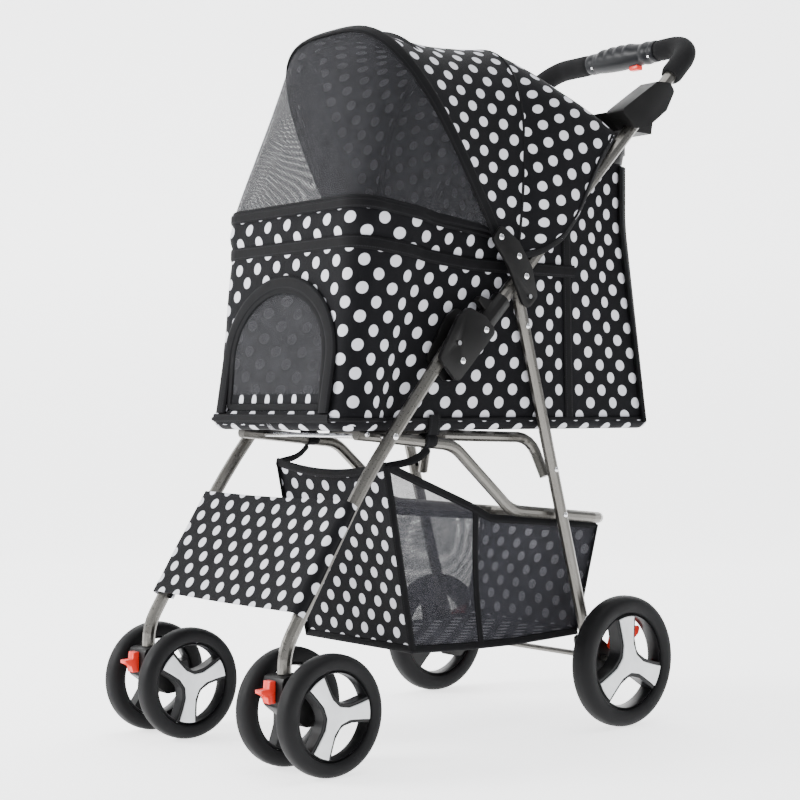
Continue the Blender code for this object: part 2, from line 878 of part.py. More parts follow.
def carrier_side_wall(side, sign):
    stations = [FRONT_SEAM_Y + 0.001, -0.180, -0.155, -0.125, -0.016, 0.080, 0.150, 0.200, 1]
    rows = []
    for share in (0.0, 0.5, 1.0):
        row = []
        for y in stations:
            high = side_top(y)
            z = FLOOR_Z + (high - FLOOR_Z) * share
            if y == 1:
                z = (FLOOR_Z, RIM_Z, REAR_WALL_TOP)[int(share * 2)]
                y = rear_y(z) - 0.0310
            row.append(Vector((sign * plan_x(y, z), y, z)))
        rows.append(row)
    wall("carrier_wall_" + side, rows, dotted_cloth())


def carrier_rear_wall():
    rows = [rear_wall_edge(z) for z in (FLOOR_Z, RIM_Z, REAR_WALL_TOP)]
    wall("carrier_rear_wall", rows, dotted_cloth())


def floor_slab(name, z_low, z_high, inset, finish):
    """A flat piece of the carrier's floor, with rounded corners."""
    half = plan_x(1) - inset
    front = CARRIER_FRONT_Y + inset + 0.002
    rear = CARRIER_REAR_Y - inset - 0.002
    corners = [(-half, front), (half, front), (half, rear), (-half, rear)]
    flat = [Vector((x, y, 0)) for x, y in corners]
    path = rounded([flat[-1], *flat, flat[0]], [0.028] * 4, 3)[1:-1]
    count = len(path)
    points = [(p.x, p.y, z) for z in (z_low, z_high) for p in path]
    faces = [tuple(range(count)), tuple(range(count, 2 * count))]
    for k in range(count):
        nxt = (k + 1) % count
        faces.append((k, nxt, count + nxt, count + k))
    add_mesh(name, points, faces, finish)


def carrier():
    carrier_front_wall()
    door_flap()
    for side, sign in SIDES.items():
        carrier_side_wall(side, sign)
    carrier_rear_wall()
    floor_slab("floor_board", FLOOR_Z, FLOOR_Z + BOARD_THICK, 0.0050, board())
    pad_low = FLOOR_Z + BOARD_THICK + GAP
    floor_slab("floor_pad", pad_low, pad_low + PAD_THICK, 0.0070, dotted_cloth())


def arch(pivot, lean, height, half_width, power, count, shrink=0.0):
    """A bow over the carrier: a superellipse in a plane through its pivots."""
    points = []
    for turn in spans(0, math.pi, count):
        c, s = math.cos(turn), math.sin(turn)
        x = (half_width - shrink) * math.copysign(abs(c) ** (2 / power), c)
        up = (height - shrink) * abs(s) ** (2 / power)
        y = pivot[0] - up * math.sin(lean)
        points.append(Vector((x, y, pivot[1] + up * math.cos(lean))))
    return points


FRONT_BOW = (CANOPY_PIVOT, math.radians(30.6), 0.3105, 0.1530, 3.3)
MID_BOW = ((0.018, 0.6300), math.radians(-6.8), 0.2880, 0.1540, 3.0)


def arch_normal(pivot):
    """Points inwards from the canopy, towards a line between its pivots."""

    def inward(p):
        return Vector((-p.x, pivot[0] - p.y, pivot[1] - p.z))

    return inward


def rear_edge(count):
    """The canopy's rear and lower edge, along the handle and over the rear wall."""
    half = [
        (0.1575, 0.0240, 0.6250),
        (0.1635, 0.0930, 0.6500),
        (0.1635, 0.1500, 0.7200),
        (0.1600, 0.1980, 0.7960),
        (0.1480, 0.2060, 0.8050),
        (0.1200, 0.2070, 0.8060),
    ]
    path = [Vector(c) for c in half]
    path += [Vector((-p.x, p.y, p.z)) for p in reversed(path)]
    lengths = [0.0]
    for a, b in zip(path, path[1:]):
        lengths.append(lengths[-1] + (b - a).length)
    edge = []
    for want in spans(0.0, lengths[-1], count):
        k = max(i for i in range(len(path) - 1) if lengths[i] <= want + 1e-9)
        share = (want - lengths[k]) / (lengths[k + 1] - lengths[k])
        edge.append(path[k].lerp(path[k + 1], min(share, 1.0)))
    return edge


def canopy():
    """Both bows, the cover in front of and behind the middle bow, and the mesh front."""
    inward = arch_normal(CANOPY_PIVOT)
    count = 24
    front = arch(*FRONT_BOW, count, 0.0040)
    tube("canopy_front_bow", front, BOW_RADIUS, dark_plastic(), 6, (0, *CANOPY_PIVOT))
    middle = arch(*MID_BOW, count, 0.0065)
    tube("canopy_mid_bow", middle, BOW_RADIUS, dark_plastic(), 6)
    outer_front = arch(*FRONT_BOW, count)
    outer_middle = arch(*MID_BOW, count)
    sheet_between(
        "canopy_front_cover",
        [p + Vector((0, 0.0004, 0)) for p in outer_front],
        [p - Vector((0, 0.004, 0)) for p in outer_middle],
        dotted_cloth(),
        -FABRIC * 0.7,
        inward,
        (0, *CANOPY_PIVOT),
        rows=2,
    )
    sheet_between(
        "canopy_rear_cover",
        [p + Vector((0, 0.004, 0)) for p in outer_middle],
        rear_edge(count),
        dotted_cloth(),
        -FABRIC * 0.7,
        inward,
        rows=2,
    )
    canopy_mesh(count)


def canopy_mesh(count):
    """The see-through panel from the front bow down to the carrier's rim."""
    high = [p - Vector((0, 0.0040, 0)) for p in arch(*FRONT_BOW, count)]
    low = []
    corners = rim_line(count)
    for p in corners:
        low.append(p)
    sheet_between(
        "canopy_mesh_front",
        low,
        high,
        mesh_cloth(),
        FABRIC * 0.5,
        arch_normal((0.0, 0.66)),
        (0, *CANOPY_PIVOT),
        rows=2,
    )


def rim_line(count):
    """The carrier's rim from one canopy pivot, round the front, to the other."""
    radius = 0.050
    front = front_y(RIM_Z) + 0.002
    wide = 0.1475
    pivot = Vector((0.1530, CANOPY_PIVOT[0] - 0.006, RIM_Z - 0.020))
    arc = [math.radians(a) for a in spans(0, 90, 4)]
    lift = RIM_Z + 0.0012
    near = [
        Vector((wide - radius + radius * math.cos(a), front + radius - radius * math.sin(a), lift))
        for a in arc
    ]
    near = [pivot, Vector((wide, -0.11, RIM_Z - 0.007)), *near]
    path = near + [Vector((-p.x, p.y, p.z)) for p in reversed(near)]
    lengths = [0.0]
    for a, b in zip(path, path[1:]):
        lengths.append(lengths[-1] + (b - a).length)
    line = []
    for want in spans(0.0, lengths[-1], count):
        k = max(i for i in range(len(path) - 1) if lengths[i] <= want + 1e-9)
        share = (want - lengths[k]) / (lengths[k + 1] - lengths[k])
        line.append(path[k].lerp(path[k + 1], min(share, 1.0)))
    return line


def storage_basket():
    """The open basket under the carrier: a tapered tub with a low rear half."""
    half_top, half_low = 0.1145, 0.1100
    rim = [(-0.174, 0.352), (-0.030, 0.298), (0.020, 0.284), (0.204, 0.262)]
    base = [(-0.124, 0.124), (-0.040, 0.1180), (0.050, 0.1160), (0.168, 0.1210)]
    outer = []
    for points, half in ((base, half_low), (rim, half_top)):
        loop = [Vector((half, y, z)) for y, z in points]
        loop += [Vector((-half, y, z)) for y, z in reversed(points)]
        outer.append(loop)
    inner = []
    for level, loop in enumerate(outer):
        ring = []
        for p in loop:
            middle_y = 0.02
            shift = Vector((-math.copysign(FABRIC, p.x), 0, 0))
            if abs(p.y - middle_y) > 0.12:
                shift.y = math.copysign(FABRIC, middle_y - p.y)
            if level == 0:
                shift.z = FABRIC
            ring.append(p + shift)
        inner.append(ring)
    count = len(outer[0])
    points = outer[0] + outer[1] + inner[0] + inner[1]
    faces = []
    for k in range(count):
        nxt = (k + 1) % count
        faces.append((k, nxt, count + nxt, count + k))
        faces.append((2 * count + k, 2 * count + nxt, 3 * count + nxt, 3 * count + k))
        faces.append((count + k, count + nxt, 3 * count + nxt, 3 * count + k))
    for start in (0, 2 * count):
        for k in range(3):
            a, b = start + k, start + count - 1 - k
            faces.append((a, a + 1, b - 1, b))
    add_mesh("storage_basket", points, faces, mesh_cloth())


def leg_panel():
    """The cloth panel stretched across the front of both front legs."""
    along = Vector((0, 0.5346, 0.8451))
    out = Vector((0, -0.8451, 0.5346))
    low = Vector((0, -0.3325, 0.1905)) + out * 0.0112
    high = low + along * 0.150
    half = FRAME_X + 0.011
    rows = [low, high]
    points = [
        centre + Vector((x, 0, 0)) + out * depth
        for depth in (0.0, 0.002)
        for centre in rows
        for x in (-half, half)
    ]
    faces = [
        (0, 1, 3, 2),
        (4, 5, 7, 6),
        (0, 1, 5, 4),
        (2, 3, 7, 6),
        (0, 2, 6, 4),
        (1, 3, 7, 5),
    ]
    add_mesh("leg_panel", points, faces, dotted_cloth())


def rear_wheels():
    rod(
        "rear_axle",
        (REAR_AXLE_Y, REAR_WHEEL_RADIUS),
        AXLE_RADIUS,
        -0.2055,
        0.2055,
        chrome(),
    )
    for side, sign in SIDES.items():
        x = sign * REAR_WHEEL_X
        wheel("rear_wheel_" + side, x, REAR_AXLE_Y, REAR_WHEEL_RADIUS, REAR_WHEEL_WIDTH)


def main():
    clear_scene()
    for side, sign in SIDES.items():
        caster(side, sign)
    rear_wheels()
    frame()
    parent_tray()
    carrier()
    canopy()
    storage_basket()
    leg_panel()


main()
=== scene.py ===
"""Looks for the folding pet stroller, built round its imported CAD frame.

Metres, +Z up, front towards -Y. Cloth surfaces follow the same plan and bows as
the CAD solids that they stand for, and every one carries its UV map in metres, so
that the print, weave and mesh keep their real size.
"""

import json
import math

import bmesh
import bpy
import numpy as np
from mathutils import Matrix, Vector, noise


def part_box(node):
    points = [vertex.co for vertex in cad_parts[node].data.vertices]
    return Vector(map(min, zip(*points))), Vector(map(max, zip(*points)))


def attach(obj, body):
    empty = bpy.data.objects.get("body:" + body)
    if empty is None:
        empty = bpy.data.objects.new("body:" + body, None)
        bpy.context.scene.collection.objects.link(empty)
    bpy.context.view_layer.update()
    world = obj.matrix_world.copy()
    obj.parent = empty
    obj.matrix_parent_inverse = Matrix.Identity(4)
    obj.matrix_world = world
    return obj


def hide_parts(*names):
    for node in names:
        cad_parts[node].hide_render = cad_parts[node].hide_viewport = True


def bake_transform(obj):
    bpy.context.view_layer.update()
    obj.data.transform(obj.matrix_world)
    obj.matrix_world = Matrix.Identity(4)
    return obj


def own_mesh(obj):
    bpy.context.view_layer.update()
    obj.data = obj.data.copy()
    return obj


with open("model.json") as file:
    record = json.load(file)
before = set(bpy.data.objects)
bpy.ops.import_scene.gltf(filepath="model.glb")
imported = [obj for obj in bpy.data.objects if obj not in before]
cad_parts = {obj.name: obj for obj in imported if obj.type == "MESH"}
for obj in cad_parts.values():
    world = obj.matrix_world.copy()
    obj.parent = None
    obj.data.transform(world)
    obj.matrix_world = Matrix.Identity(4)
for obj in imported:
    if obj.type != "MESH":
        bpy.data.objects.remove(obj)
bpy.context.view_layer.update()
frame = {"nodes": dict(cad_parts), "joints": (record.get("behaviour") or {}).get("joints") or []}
nodes = frame["nodes"]

SIDES = {"left": 1.0, "right": -1.0}

# Print
DOT_PITCH = (0.0420, 0.0347)
DOT_RADIUS = 0.0074
PANEL_PITCH = (0.0336, 0.0380)
PANEL_RADIUS = 0.0070
CLOTH_BLACK = (0.0035, 0.0035, 0.0042)

# Carrier, from the CAD solids
FLOOR_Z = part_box("carrier_front_wall")[0].z
RIM_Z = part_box("carrier_front_wall")[1].z
FRONT_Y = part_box("carrier_front_wall")[0].y
REAR_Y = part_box("carrier_rear_wall")[1].y
WALL_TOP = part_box("carrier_rear_wall")[1].z
FULL_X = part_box("carrier_front_wall")[1].x
SIDE_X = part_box("carrier_rear_wall")[1].x
FRONT_LEAN = 0.028
REAR_LEAN = 0.046
CORNER = 0.030
ZIP_Z = 0.632
DOOR_SPRING = 0.490  # height where the door's round top starts

# Fold geometry, from the CAD joints
JOINTS = {j["name"]: j for j in frame["joints"]}
FOLD = Vector(JOINTS["fold"]["pos_m"])
LINK = Vector(JOINTS["link_pivot"]["pos_m"])
REAR = Vector(JOINTS["rear_leg_pivot"]["pos_m"])
SEAT = Vector(JOINTS["seat_pivot"]["pos_m"])
CANOPY = Vector(JOINTS["canopy_front_fold"]["pos_m"])
HANDLE_ANGLE = math.radians(45.2)
ALONG = Vector((0, math.cos(HANDLE_ANGLE), math.sin(HANDLE_ANGLE)))
BEHIND = Vector((0, math.sin(HANDLE_ANGLE), -math.cos(HANDLE_ANGLE)))
FOOT = FOLD + BEHIND * 0.021

# Bows: (pivot Y and Z, lean, height, half width, power)
FRONT_BOW = (CANOPY.y, CANOPY.z, math.radians(30.6), 0.3105, 0.1530, 3.3)
MID_BOW = (0.018, 0.6300, math.radians(-6.8), 0.2880, 0.1540, 3.0)

FRAME_X = 0.150
VIEW_AZIMUTH = math.radians(50.264)
LEG_FOOT = Vector((0, -0.3325, 0.1905))


def on_handle(along, behind=0.0, x=0.0):
    """A point by its distance along the handle tube from beside the fold pivot."""
    return FOOT + ALONG * along + BEHIND * behind + Vector((x, 0, 0))


# Materials


SOCKETS = {
    "specular": "Specular IOR Level",
    "sheen": "Sheen Weight",
    "coat": "Coat Weight",
}


class Graph:
    """A material's node tree, with short calls for the nodes that the finishes share."""

    def __init__(self, name):
        self.material = bpy.data.materials.new(name)
        self.material.use_nodes = True
        self.tree = self.material.node_tree
        self.shader = self.tree.nodes["Principled BSDF"]

    def add(self, kind, **values):
        made = self.tree.nodes.new(kind)
        for key, value in values.items():
            setattr(made, key, value)
        return made

    def feed(self, socket, value):
        if isinstance(value, bpy.types.NodeSocket):
            self.tree.links.new(value, socket)
        elif value is not None:
            colour = socket.type == "RGBA" and len(value) == 3
            socket.default_value = (*value, 1.0) if colour else value

    def math(self, operation, *values, clamp=False):
        made = self.add("ShaderNodeMath", operation=operation, use_clamp=clamp)
        for socket, value in zip(made.inputs, values):
            self.feed(socket, value)
        return made.outputs[0]

    def mix(self, share, first, second):
        made = self.add("ShaderNodeMix", data_type="RGBA")
        self.feed(made.inputs[0], share)
        self.feed(made.inputs[6], first)
        self.feed(made.inputs[7], second)
        return made.outputs[2]

    def noise(self, scale, detail=3.0, where=None, roughness=0.55):
        made = self.add("ShaderNodeTexNoise")
        self.feed(made.inputs["Vector"], where)
        made.inputs["Scale"].default_value = scale
        made.inputs["Detail"].default_value = detail
        made.inputs["Roughness"].default_value = roughness
        return made.outputs[0]

    def place(self):
        return self.add("ShaderNodeTexCoord").outputs["Object"]

    def uv(self):
        """The UV map in metres, as (U, V) sockets."""
        split = self.add("ShaderNodeSeparateXYZ")
        made = self.add("ShaderNodeUVMap", uv_map="cloth")
        self.feed(split.inputs[0], made.outputs[0])
        return split.outputs[0], split.outputs[1]

    def ramp(self, value, low, high, out_low=0.0, out_high=1.0):
        made = self.add("ShaderNodeMapRange", clamp=True)
        for socket, number in zip(made.inputs, (value, low, high, out_low, out_high)):
            self.feed(socket, number)
        return made.outputs[0]

    def bump(self, height, strength, distance, under=None):
        made = self.add("ShaderNodeBump")
        made.inputs["Strength"].default_value = strength
        made.inputs["Distance"].default_value = distance
        self.feed(made.inputs["Height"], height)
        self.feed(made.inputs["Normal"], under)
        return made.outputs[0]

    def finish(self, **inputs):
        for key, value in inputs.items():
            name = SOCKETS.get(key, key.replace("_", " ").title())
            self.feed(self.shader.inputs[name], value)
        return self.material


def lattice(graph, u, v, pitch, shift):
    """Distance from the nearest cell middle on a grid, moved by shift cells."""
    parts = []
    for value, size in zip((u, v), pitch):
        cell = graph.math("ADD", graph.math("DIVIDE", value, size), shift)
        off = graph.math("SUBTRACT", graph.math("FRACT", cell), 0.5)
        away = graph.math("MULTIPLY", off, size)
        parts.append(graph.math("MULTIPLY", away, away))
    return graph.math("SQRT", graph.math("ADD", *parts))


def staggered(graph, u, v, pitch):
    """Distance from the nearest middle of two grids, one in the gaps of the other."""
    grids = [lattice(graph, u, v, pitch, shift) for shift in (0.0, 0.5)]
    return graph.math("MINIMUM", *grids)


def shades(graph, cloud, ground, gain):
    return graph.mix(cloud, ground, tuple(c * gain for c in ground))


def dots(graph, u, v, radius, pitch):
    """1 inside a printed dot, 0 outside, with a slightly uneven edge."""
    near = staggered(graph, u, v, pitch)
    uneven = graph.math("MULTIPLY", graph.noise(900.0, 2.0, graph.place()), 0.0006)
    near = graph.math("ADD", near, uneven)
    return graph.ramp(near, radius, radius + 0.0007, 1.0, 0.0)


def weave(graph, u, v, pitch):
    """Height of a plain weave: over and under in both directions."""
    turns = 2 * math.pi / pitch
    across = graph.math("SINE", graph.math("MULTIPLY", u, turns))
    along = graph.math("SINE", graph.math("MULTIPLY", v, turns))
    return graph.math("MULTIPLY", across, along)


def dotted_cloth(name, ground=CLOTH_BLACK, size=DOT_PITCH, radius=DOT_RADIUS):
    graph = Graph(name)
    u, v = graph.uv()
    spot = dots(graph, u, v, radius, size)
    cloud = graph.noise(35.0, 4.0, graph.place())
    dark = shades(graph, cloud, ground, 1.9)
    pale = graph.mix(cloud, (0.56, 0.56, 0.60), (0.68, 0.68, 0.72))
    thread = weave(graph, u, v, 0.0011)
    fine = graph.bump(thread, 0.35, 0.00012)
    edge = graph.bump(spot, 0.25, 0.00010, fine)
    return graph.finish(
        base_color=graph.mix(spot, dark, pale),
        roughness=graph.math("ADD", graph.math("MULTIPLY", thread, 0.06), 0.74),
        normal=graph.bump(graph.noise(26.0, 5.0, graph.place()), 0.45, 0.0045, edge),
        sheen=0.02,
        specular=0.07,
    )


def net_cloth(name, open_share, ground, size=0.0019):
    """Knitted net: round holes between the threads, open all the way through."""
    graph = Graph(name)
    u, v = graph.uv()
    hole = staggered(graph, u, v, (size, size))
    radius = size * math.sqrt(open_share / (2 * math.pi))
    solid = graph.ramp(hole, radius * 0.62, radius * 1.30, 0.10, 1.0)
    cloud = graph.noise(60.0, 3.0, graph.place())
    return graph.finish(
        base_color=shades(graph, cloud, ground, 2.4),
        alpha=solid,
        roughness=0.72,
        normal=graph.bump(solid, 0.5, 0.0003),
        specular=0.10,
    )


def binding_cloth(name="black_binding", ground=(0.0030, 0.0030, 0.0034)):
    """Grosgrain tape: fine ribs across, and a row of stitches near each edge."""
    graph = Graph(name)
    u, v = graph.uv()
    rib = graph.math("SINE", graph.math("MULTIPLY", u, 2 * math.pi / 0.0013))
    beat = graph.math("FRACT", graph.math("DIVIDE", u, 0.0032))
    stitch_on = graph.math("LESS_THAN", beat, 0.66)
    off = graph.math("SUBTRACT", graph.math("ABSOLUTE", v), 0.62)
    near = graph.math("LESS_THAN", graph.math("ABSOLUTE", off), 0.07)
    line = graph.math("MULTIPLY", near, stitch_on)
    cloud = graph.noise(70.0, 3.0, graph.place())
    dark = shades(graph, cloud, ground, 2.2)
    sewn = graph.bump(line, 0.6, 0.0003, graph.bump(rib, 0.5, 0.00015))
    return graph.finish(
        base_color=graph.mix(graph.math("MULTIPLY", line, 0.5), dark, (0.020, 0.020, 0.022)),
        roughness=0.68,
        normal=graph.bump(cloud, 0.3, 0.0010, sewn),
        specular=0.08,
    )


def silver_tube():
    graph = Graph("silver_tube")
    place = graph.place()
    cloud = graph.noise(14.0, 5.0, place)
    speck = graph.noise(420.0, 2.0, place)
    return graph.finish(
        base_color=graph.mix(cloud, (0.115, 0.110, 0.100), (0.165, 0.158, 0.145)),
        metallic=0.92,
        roughness=graph.ramp(speck, 0.35, 0.7, 0.27, 0.42),
        normal=graph.bump(speck, 0.10, 0.0002),
        coat=0.15,
    )


def chrome():
    graph = Graph("rivet_chrome")
    smear = graph.noise(180.0, 3.0, graph.place())
    rough = graph.ramp(smear, 0.3, 0.7, 0.10, 0.24)
    return graph.finish(base_color=(0.72, 0.72, 0.73), metallic=1.0, roughness=rough)


def moulded(name, ground, gloss=0.42, grain=0.30, size=900.0, shine=0.16):
    """Moulded plastic: a fine grain, and faint flow marks in colour and gloss."""
    graph = Graph(name)
    place = graph.place()
    speck = graph.noise(size, 2.0, place)
    cloud = graph.noise(22.0, 4.0, place)
    bright = tuple(min(1.0, c * 1.4 + 0.001) for c in ground)
    return graph.finish(
        base_color=graph.mix(graph.ramp(cloud, 0.3, 0.75), ground, bright),
        roughness=graph.ramp(cloud, 0.25, 0.75, gloss - 0.07, gloss + 0.08),
        normal=graph.bump(speck, grain, 0.0002),
        specular=shine,
    )


def foam_rubber():
    graph = Graph("grip_foam")
    place = graph.place()
    cell = graph.add("ShaderNodeTexVoronoi")
    graph.feed(cell.inputs["Vector"], place)
    cell.inputs["Scale"].default_value = 1100.0
    cloud = graph.noise(40.0, 4.0, place)
    pores = graph.bump(cell.outputs[0], 0.45, 0.0004)
    return graph.finish(
        base_color=graph.mix(cloud, (0.006, 0.006, 0.0065), (0.014, 0.014, 0.0145)),
        roughness=0.88,
        normal=graph.bump(cloud, 0.3, 0.0012, pores),
        specular=0.12,
    )


def tyre_rubber():
    graph = Graph("tyre_eva")
    place = graph.place()
    cloud = graph.noise(30.0, 5.0, place)
    speck = graph.noise(700.0, 2.0, place)
    return graph.finish(
        base_color=graph.mix(cloud, (0.0045, 0.0045, 0.0050), (0.0095, 0.0095, 0.0100)),
        roughness=graph.ramp(cloud, 0.3, 0.75, 0.48, 0.66),
        normal=graph.bump(speck, 0.25, 0.0003),
        specular=0.12,
    )


DOTTED = dotted_cloth("dotted_oxford")
DOTTED_SMALL = dotted_cloth("dotted_oxford_panel", size=PANEL_PITCH, radius=PANEL_RADIUS)
DOTTED_DARK = dotted_cloth("dotted_lining", (0.006, 0.006, 0.007))
NET = net_cloth("black_net", 0.56, (0.020, 0.020, 0.022))
NET_DENSE = net_cloth("basket_net", 0.60, (0.024, 0.024, 0.028))
NET_DOOR = net_cloth("door_net", 0.62, (0.024, 0.024, 0.026))
TAPE = binding_cloth()
TUBE = silver_tube()
CHROME = chrome()
BLACK = moulded("black_moulding", (0.0050, 0.0048, 0.0048))
GRIP = moulded("grip_moulding", (0.012, 0.0125, 0.014), 0.38, 0.35)
RED = moulded("red_moulding", (0.68, 0.028, 0.016), 0.30, 0.12, shine=0.4)
PEARL = moulded("silver_moulding", (0.60, 0.61, 0.62), 0.33, 0.08, shine=0.4)
HUB_BLACK = moulded("hub_moulding", (0.0045, 0.0045, 0.0050), 0.36, 0.2, shine=0.2)
FOAM = foam_rubber()
TYRE = tyre_rubber()
BOARD = moulded("board_cover", (0.008, 0.008, 0.009), 0.75, 0.4, 500.0)


# Mesh helpers


def placed(name, data):
    """A new object in the scene, made from its mesh, lamp or camera."""
    obj = bpy.data.objects.new(name, data)
    bpy.context.scene.collection.objects.link(obj)
    return obj


def belongs(obj, body, slot=None, *stands_for):
    """The body that a piece rides on, and the CAD nodes that it replaces; slot is not used."""
    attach(obj, body)
    if stands_for:
        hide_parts(*stands_for)


def within(value, low, span):
    """How far value has come from low along span, kept from 0 to 1."""
    return min(max((value - low) / span, 0.0), 1.0)


def run_of(points, axis):
    """The distances between neighbouring points of an array, along one of its axes."""
    return np.linalg.norm(np.diff(points, axis=axis), axis=-1)


def mesh_object(name, points, faces, finish, uvs=None, smooth=True):
    """An object from points and faces; uvs is one (U, V) for each point."""
    mesh = bpy.data.meshes.new(name)
    mesh.from_pydata([tuple(p) for p in points], [], faces)
    mesh.update()
    if uvs is not None:
        layer = mesh.uv_layers.new(name="cloth")
        flat = np.array(uvs, float)
        corner = np.zeros(len(mesh.loops), np.int32)
        mesh.loops.foreach_get("vertex_index", corner)
        layer.data.foreach_set("uv", flat[corner].astype(np.float32).ravel())
    shape = bmesh.new()
    shape.from_mesh(mesh)
    bmesh.ops.recalc_face_normals(shape, faces=shape.faces)
    shape.to_mesh(mesh)
    shape.free()
    obj = placed(name, mesh)
    mesh.materials.append(finish)
    if smooth:
        mesh.shade_smooth()
        mesh.set_sharp_from_angle(angle=math.radians(50))
    return obj


def grid_normals(grid):
    """Unit normals of a grid of points, shaped (rows, columns, 3)."""
    along = np.gradient(grid, axis=0)
    across = np.gradient(grid, axis=1)
    normal = np.cross(along, across)
    length = np.linalg.norm(normal, axis=2, keepdims=True)
    return normal / np.maximum(length, 1e-9)


def grid_area(grid):
    """The area of a grid's quads, each as two triangles."""
    total = 0.0
    for corner in (grid[:-1, :-1], grid[1:, 1:]):
        cross = np.cross(grid[1:, :-1] - corner, grid[:-1, 1:] - corner)
        total += np.linalg.norm(cross, axis=2).sum()
    return float(total) / 2


def grid_uv(grid):
    """UV in metres: mean arc length each way, measured from the middle column."""
    u = np.concatenate([[0], np.cumsum(run_of(grid, 1).mean(axis=0))])
    u -= u[len(u) // 2]
    along = np.cumsum(run_of(grid, 0), axis=0)
    v = np.concatenate([np.zeros((1, grid.shape[1])), along])
    return np.stack([np.broadcast_to(u, v.shape), v], axis=2)


def rough_up(grid, height, size, seed=0.0, normal=None):
    """The grid moved along its normals by soft noise, inwards only where height < 0."""
    normal = grid_normals(grid) if normal is None else normal
    moved = grid.copy()
    for i in range(grid.shape[0]):
        for k in range(grid.shape[1]):
            where = Vector(grid[i, k]) * size + Vector((seed, seed * 0.7, 0))
            moved[i, k] += normal[i, k] * (noise.noise(where) * 0.5 + 0.5) * height
    return moved


def cloth_sheet(name, grid, finish, thick=0.0011, wrap=False, uv=None, inside=None):
    """A closed thin sheet on a grid of points, thickened against its normals."""
    rows, columns = grid.shape[:2]
    normal = grid_normals(grid)
    if inside is not None:
        towards = np.array(inside, float) - grid
        flip = np.sign((normal * towards).sum(axis=2, keepdims=True))
        normal = -normal * np.where(flip == 0, 1, flip)
    lower = grid - normal * thick
    points = np.concatenate([grid.reshape(-1, 3), lower.reshape(-1, 3)])
    uv = grid_uv(grid) if uv is None else uv
    uvs = np.concatenate([uv.reshape(-1, 2), uv.reshape(-1, 2)])
    half = rows * columns
    index = np.arange(half).reshape(rows, columns)
    faces = []
    for i in range(rows - 1):
        for k in range(columns if wrap else columns - 1):
            n = (k + 1) % columns
            quad = (index[i, k], index[i, n], index[i + 1, n], index[i + 1, k])
            faces.append(quad)
            faces.append(tuple(half + q for q in reversed(quad)))
    if wrap:
        rims = [index[0], index[-1]]
    else:
        sides = [index[0], index[1:, -1], index[-1, -2::-1], index[-2:0:-1, 0]]
        rims = [np.concatenate(sides)]
    for rim in rims:
        for a, b in zip(rim, np.roll(rim, -1)):
            faces.append((a, b, half + b, half + a))
    faces = [tuple(int(q) for q in face) for face in faces]
    return mesh_object(name, points, faces, finish, uvs)


def declare(grid, area=None):
    """Works out a sheet's flat cut, its longest row and column and its area, and keeps none of
    them.
    """
    width = float(run_of(grid, 1).sum(axis=1).max())
    length = float(run_of(grid, 0).sum(axis=0).max())
    area = min(grid_area(grid) if area is None else area, width * length)


def resample(path, step):
    path = [Vector(p) for p in path]
    lengths = [0.0]
    for a, b in zip(path, path[1:]):
        lengths.append(lengths[-1] + (b - a).length)
    count = max(2, round(lengths[-1] / step))
    spaced = []
    k = 0
    for i in range(count + 1):
        want = lengths[-1] * i / count
        while k < len(path) - 2 and lengths[k + 1] < want:
            k += 1
        share = (want - lengths[k]) / max(lengths[k + 1] - lengths[k], 1e-9)
        spaced.append(path[k].lerp(path[k + 1], min(max(share, 0), 1)))
    return spaced


def evenly(path, count):
    """The path as count + 1 points at even spacing."""
    total = sum((b - a).length for a, b in zip(path, path[1:]))
    return resample(path, total / count)[: count + 1]


def bands(rings, around, closed=False):
    """Faces between rings of around points each: closed on itself, or capped."""
    faces = []
    for i in range(rings if closed else rings - 1):
        here, there = i * around, (i + 1) % rings * around
        for k in range(around):
            n = (k + 1) % around
            faces.append((here + k, here + n, there + n, there + k))
    if not closed:
        last = (rings - 1) * around
        faces += [tuple(range(around)), tuple(range(last, last + around))]
    return faces


def tape(name, path, outward, width, height, closed=False, step=0.008, sides=10):
    """A soft band laid along a path: a flat oval section, turned to face outward."""
    path = resample(path, step)
    if closed:
        path = path[:-1]
    count = len(path)
    points, uvs = [], []
    run = 0.0
    for i, point in enumerate(path):
        after = path[(i + 1) % count] if closed else path[min(i + 1, count - 1)]
        before = path[(i - 1) % count] if closed else path[max(i - 1, 0)]
        way = (after - before).normalized()
        face = outward(point)
        face = (face - way * face.dot(way)).normalized()
        side = way.cross(face)
        if i:
            run += (point - path[i - 1]).length
        for k in range(sides):
            turn = 2 * math.pi * k / sides
            c, s = math.cos(turn), math.sin(turn)
            flat = math.copysign(abs(c) ** 0.6, c)
            lift = math.copysign(abs(s) ** 0.8, s)
            points.append(point + side * (flat * width / 2) + face * (lift * height / 2))
            uvs.append((run, flat))
    return mesh_object(name, points, bands(count, sides, closed), TAPE, uvs)


def turned(name, profile, centre, finish, steps=64):
    """A ring turned about X through centre, from closed (x, radius) points."""
    points = []
    for step in range(steps):
        turn = 2 * math.pi * step / steps
        out = Vector((0, math.cos(turn), math.sin(turn)))
        points += [Vector(centre) + Vector((x, 0, 0)) + out * r for x, r in profile]
    return mesh_object(name, points, bands(steps, len(profile), True), finish)


def block(name, size, centre, corner=0.0):
    """A box, with its upright edges rounded by corner."""
    shape = bmesh.new()
    bmesh.ops.create_cube(shape, size=1.0)
    bmesh.ops.scale(shape, vec=size, verts=shape.verts)
    bmesh.ops.translate(shape, vec=centre, verts=shape.verts)
    if corner:
        ends = [(e, [v.co.z for v in e.verts]) for e in shape.edges]
        upright = [e for e, (a, b) in ends if abs(a - b) > size[2] / 2]
        bmesh.ops.bevel(shape, geom=upright, offset=corner, segments=5, affect="EDGES")
    mesh = bpy.data.meshes.new(name)
    shape.to_mesh(mesh)
    shape.free()
    return placed(name, mesh)


